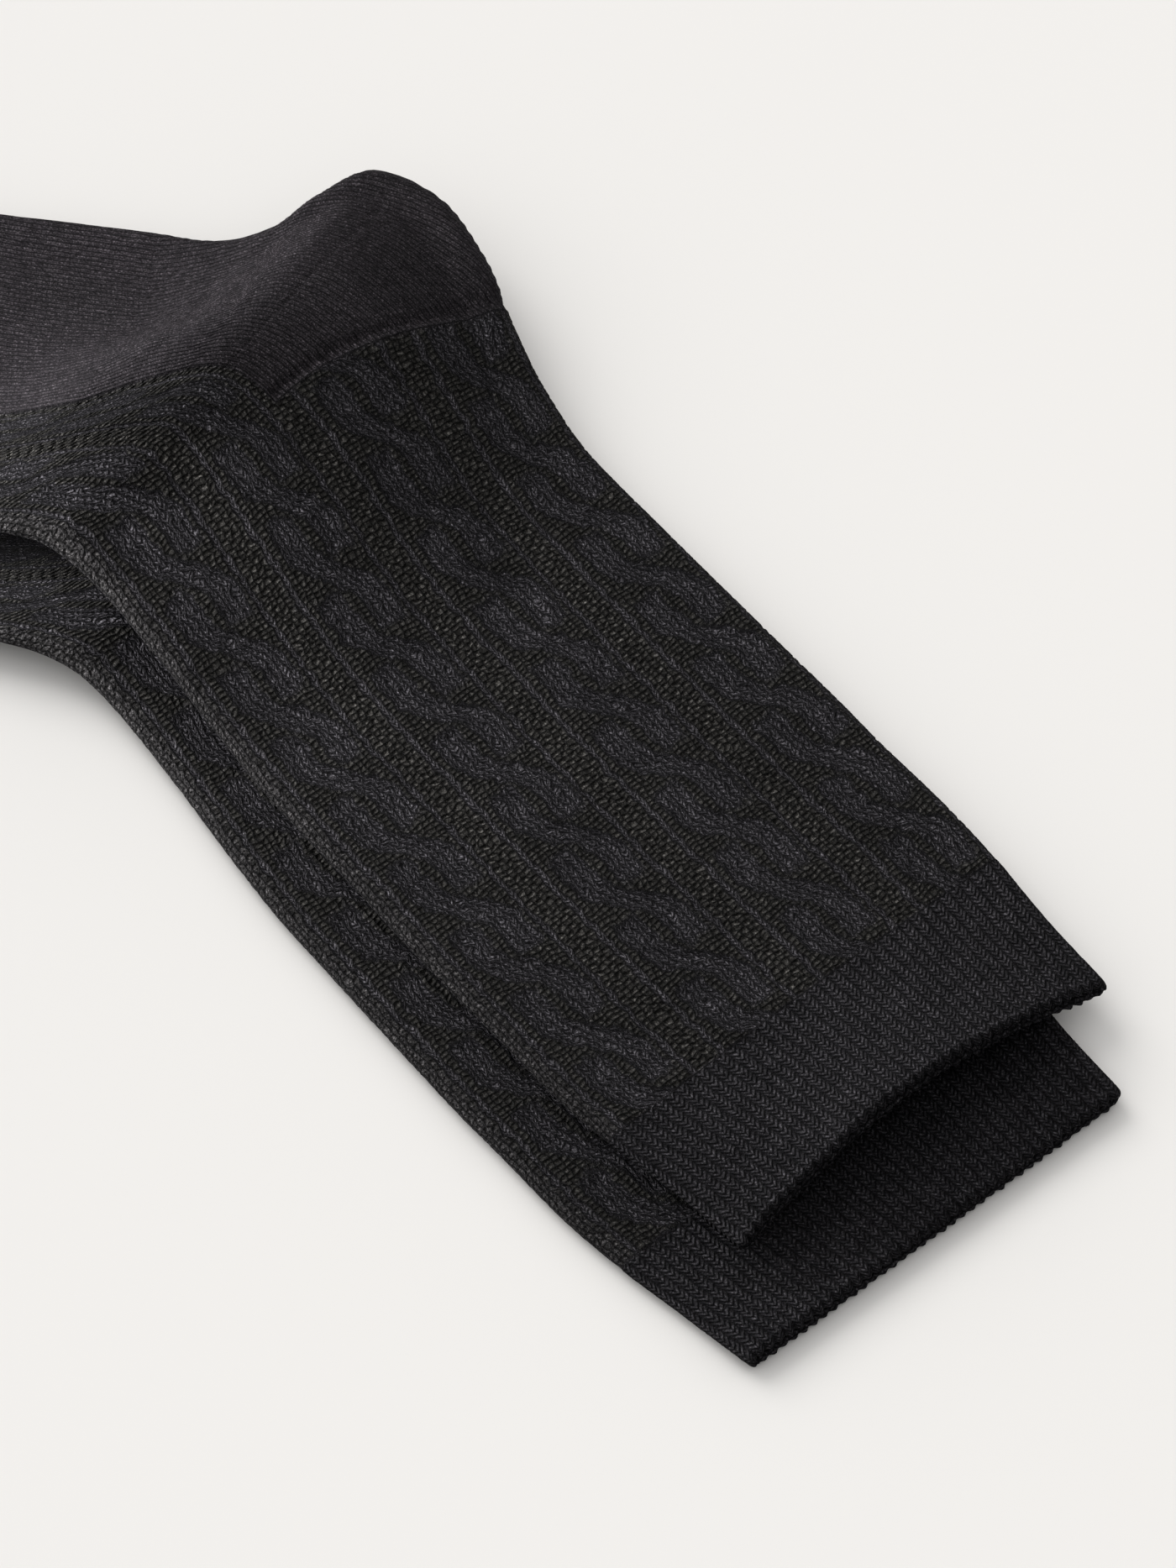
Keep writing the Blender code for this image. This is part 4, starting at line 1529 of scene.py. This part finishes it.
@dataclass(frozen=True)
class Studio:
    """Pale floor, soft light and the camera at the photograph's angle. Lengths are in metres.

    A lamp of the first kind is given by name, strength, angle and the way from which it shines.
    """

    eye: tuple[float, float, float] = (0.081074, -0.598099, 0.809017)
    tilt: float = 36.0
    lens: float = 128.23
    sensor: float = 36.0
    seen_from_to: tuple[float, float] = (0.01, 20.0)
    floor_colour: tuple[float, float, float, float] = (0.80, 0.785, 0.765, 1.0)
    floor_half: float = 3.0
    floor_low: float = -0.00005
    sky: float = 0.86
    sky_lean: float = 0.6
    sky_way: tuple[float, float, float] = (-0.75, 0.66, 0.0)
    lamps: tuple[tuple[str, float, float, tuple[float, float, float]], ...] = (
        ("key", 1.3, 40.0, (-0.66, 0.75, 0.78)),
        ("side", 1.7, 30.0, (-0.95, 0.3, 0.17)),
    )
    lamp_colour: tuple[float, float, float] = (1.0, 0.99, 0.975)
    near_place: tuple[float, float, float] = (-0.15, 0.045, 0.07)
    near_turn: tuple[float, float, float] = (0.0, -75.0, -8.0)
    near_power: float = 1.25
    near_size: float = 0.12
    cloth_lamps: tuple[str, ...] = ("side", "near")

    def build(self) -> None:
        """Sets up floor, light and camera."""
        self.floor()
        self.lamps_on()
        self.sky_on()
        self.camera()

    def floor(self) -> None:
        """Lays a plain pale floor under the socks."""
        half, low = self.floor_half, self.floor_low
        mesh = bpy.data.meshes.new("floor")
        corners = [(-half, -half, low), (half, -half, low), (half, half, low), (-half, half, low)]
        mesh.from_pydata(corners, [], [(0, 1, 2, 3)])
        mesh.materials.append(PlainFinish("floor", self.floor_colour).material())
        new_object("floor", mesh)

    def lamps_on(self) -> None:
        """Soft light from behind on the left, a low one from the left, and a near lamp low on the left."""
        for name, energy, angle, way in self.lamps:
            sun = bpy.data.lights.new(name, "SUN")
            sun.energy = energy
            sun.angle = math.radians(angle)
            sun.color = self.lamp_colour
            from_way = np.array(way) / np.linalg.norm(way)
            turn = (math.acos(from_way[2]), 0.0, math.atan2(from_way[0], -from_way[1]))
            new_object(name, sun).rotation_euler = turn
        near = bpy.data.lights.new("near", "AREA")
        near.energy = self.near_power
        near.size = self.near_size
        made = new_object("near", near)
        made.location = self.near_place
        made.rotation_euler = [math.radians(turn) for turn in self.near_turn]

    def sky_on(self) -> None:
        """A white sky, brighter behind on the left."""
        world = bpy.data.worlds.new("sky")
        world.use_nodes = True
        background = world.node_tree.nodes["Background"]
        background.inputs[0].default_value = (1.0, 1.0, 1.0, 1.0)
        board = Board(world.node_tree)
        way = board.node("ShaderNodeTexCoord").outputs["Generated"]
        lean = board.node("ShaderNodeVectorMath", way, self.sky_way, operation="DOT_PRODUCT").outputs["Value"]
        board.feed(background.inputs[1], board.line(lean, self.sky * self.sky_lean, self.sky))
        bpy.context.scene.world = world

    def keep_side_lamps_on(self, pieces: list[bpy.types.Object]) -> None:
        """Lets the lamps at the side light the cloth alone, so that the floor stays pale.

        Args:
            pieces: All pieces of the cloth.
        """
        cloth = bpy.data.collections.new("cloth")
        for piece in pieces:
            cloth.objects.link(piece)
        for lamp in self.cloth_lamps:
            bpy.data.objects[lamp].light_linking.receiver_collection = cloth

    def camera(self) -> None:
        """Sets up the camera, with the picture's long side as its sensor width."""
        data = bpy.data.cameras.new("camera")
        data.lens = self.lens
        data.sensor_width = self.sensor
        data.sensor_fit = "AUTO"
        data.clip_start, data.clip_end = self.seen_from_to
        made = new_object("camera", data)
        made.location = self.eye
        made.rotation_euler = (math.radians(self.tilt), 0.0, 0.0)
        bpy.context.scene.camera = made
        bpy.context.scene.view_settings.view_transform = "Standard"


def wales_by(*steps: tuple[float, float, float]) -> tuple[float, ...]:
    """Wale numbers of columns.

    Args:
        steps: Parts, each with its first wale, its last wale and about how far apart the columns stand.

    Returns:
        The numbers, with the last wale of the last part.
    """
    found: list[float] = []
    for first, last, spacing in steps:
        count = int(round((last - first) / spacing))
        found.extend(first + (last - first) * k / count for k in range(count))
    return tuple(found + [steps[-1][1]])


def main() -> None:
    """Builds the studio and both socks."""
    logging.basicConfig(level=logging.INFO, format="%(message)s")
    studio = Studio()
    studio.build()
    fine = Columns(wales_by((FIRST_WALE, LAST_WALE, FINE)))
    mixed = Columns(wales_by((FIRST_WALE, SEEN_WALE, FINE), (SEEN_WALE, LAST_WALE, COARSE)))
    both = Columns(fine.wales, under_count=FINE_UNDER)
    yarn = YarnFinish("black_knit").material()
    fibre = PlainFinish("loose_fibre", (0.055, 0.052, 0.055, 1.0)).material()
    upper = Sock(Layer.UPPER, SockForm(UPPER_LIE, (0.0, 0.0), UPPER_DRAWN), fine, fine, both, yarn, fibre,
                 pattern_end=9.0, rests_on=Layer.LOWER.value, step=0.3625, foot_step=0.5, seed=11)
    lower = Sock(Layer.LOWER, SockForm(LOWER_LIE, LOWER_SHIFT, LOWER_DRAWN), mixed, fine, both, yarn, fibre,
                 pattern_end=1.2, rests_on="floor", step=0.45, foot_step=0.6, seed=31)
    for sock in (upper, lower):
        sock.build()
    studio.keep_side_lamps_on([piece for piece in bpy.data.objects if piece.name.startswith("sock_")])


if __name__ == "__main__":
    main()
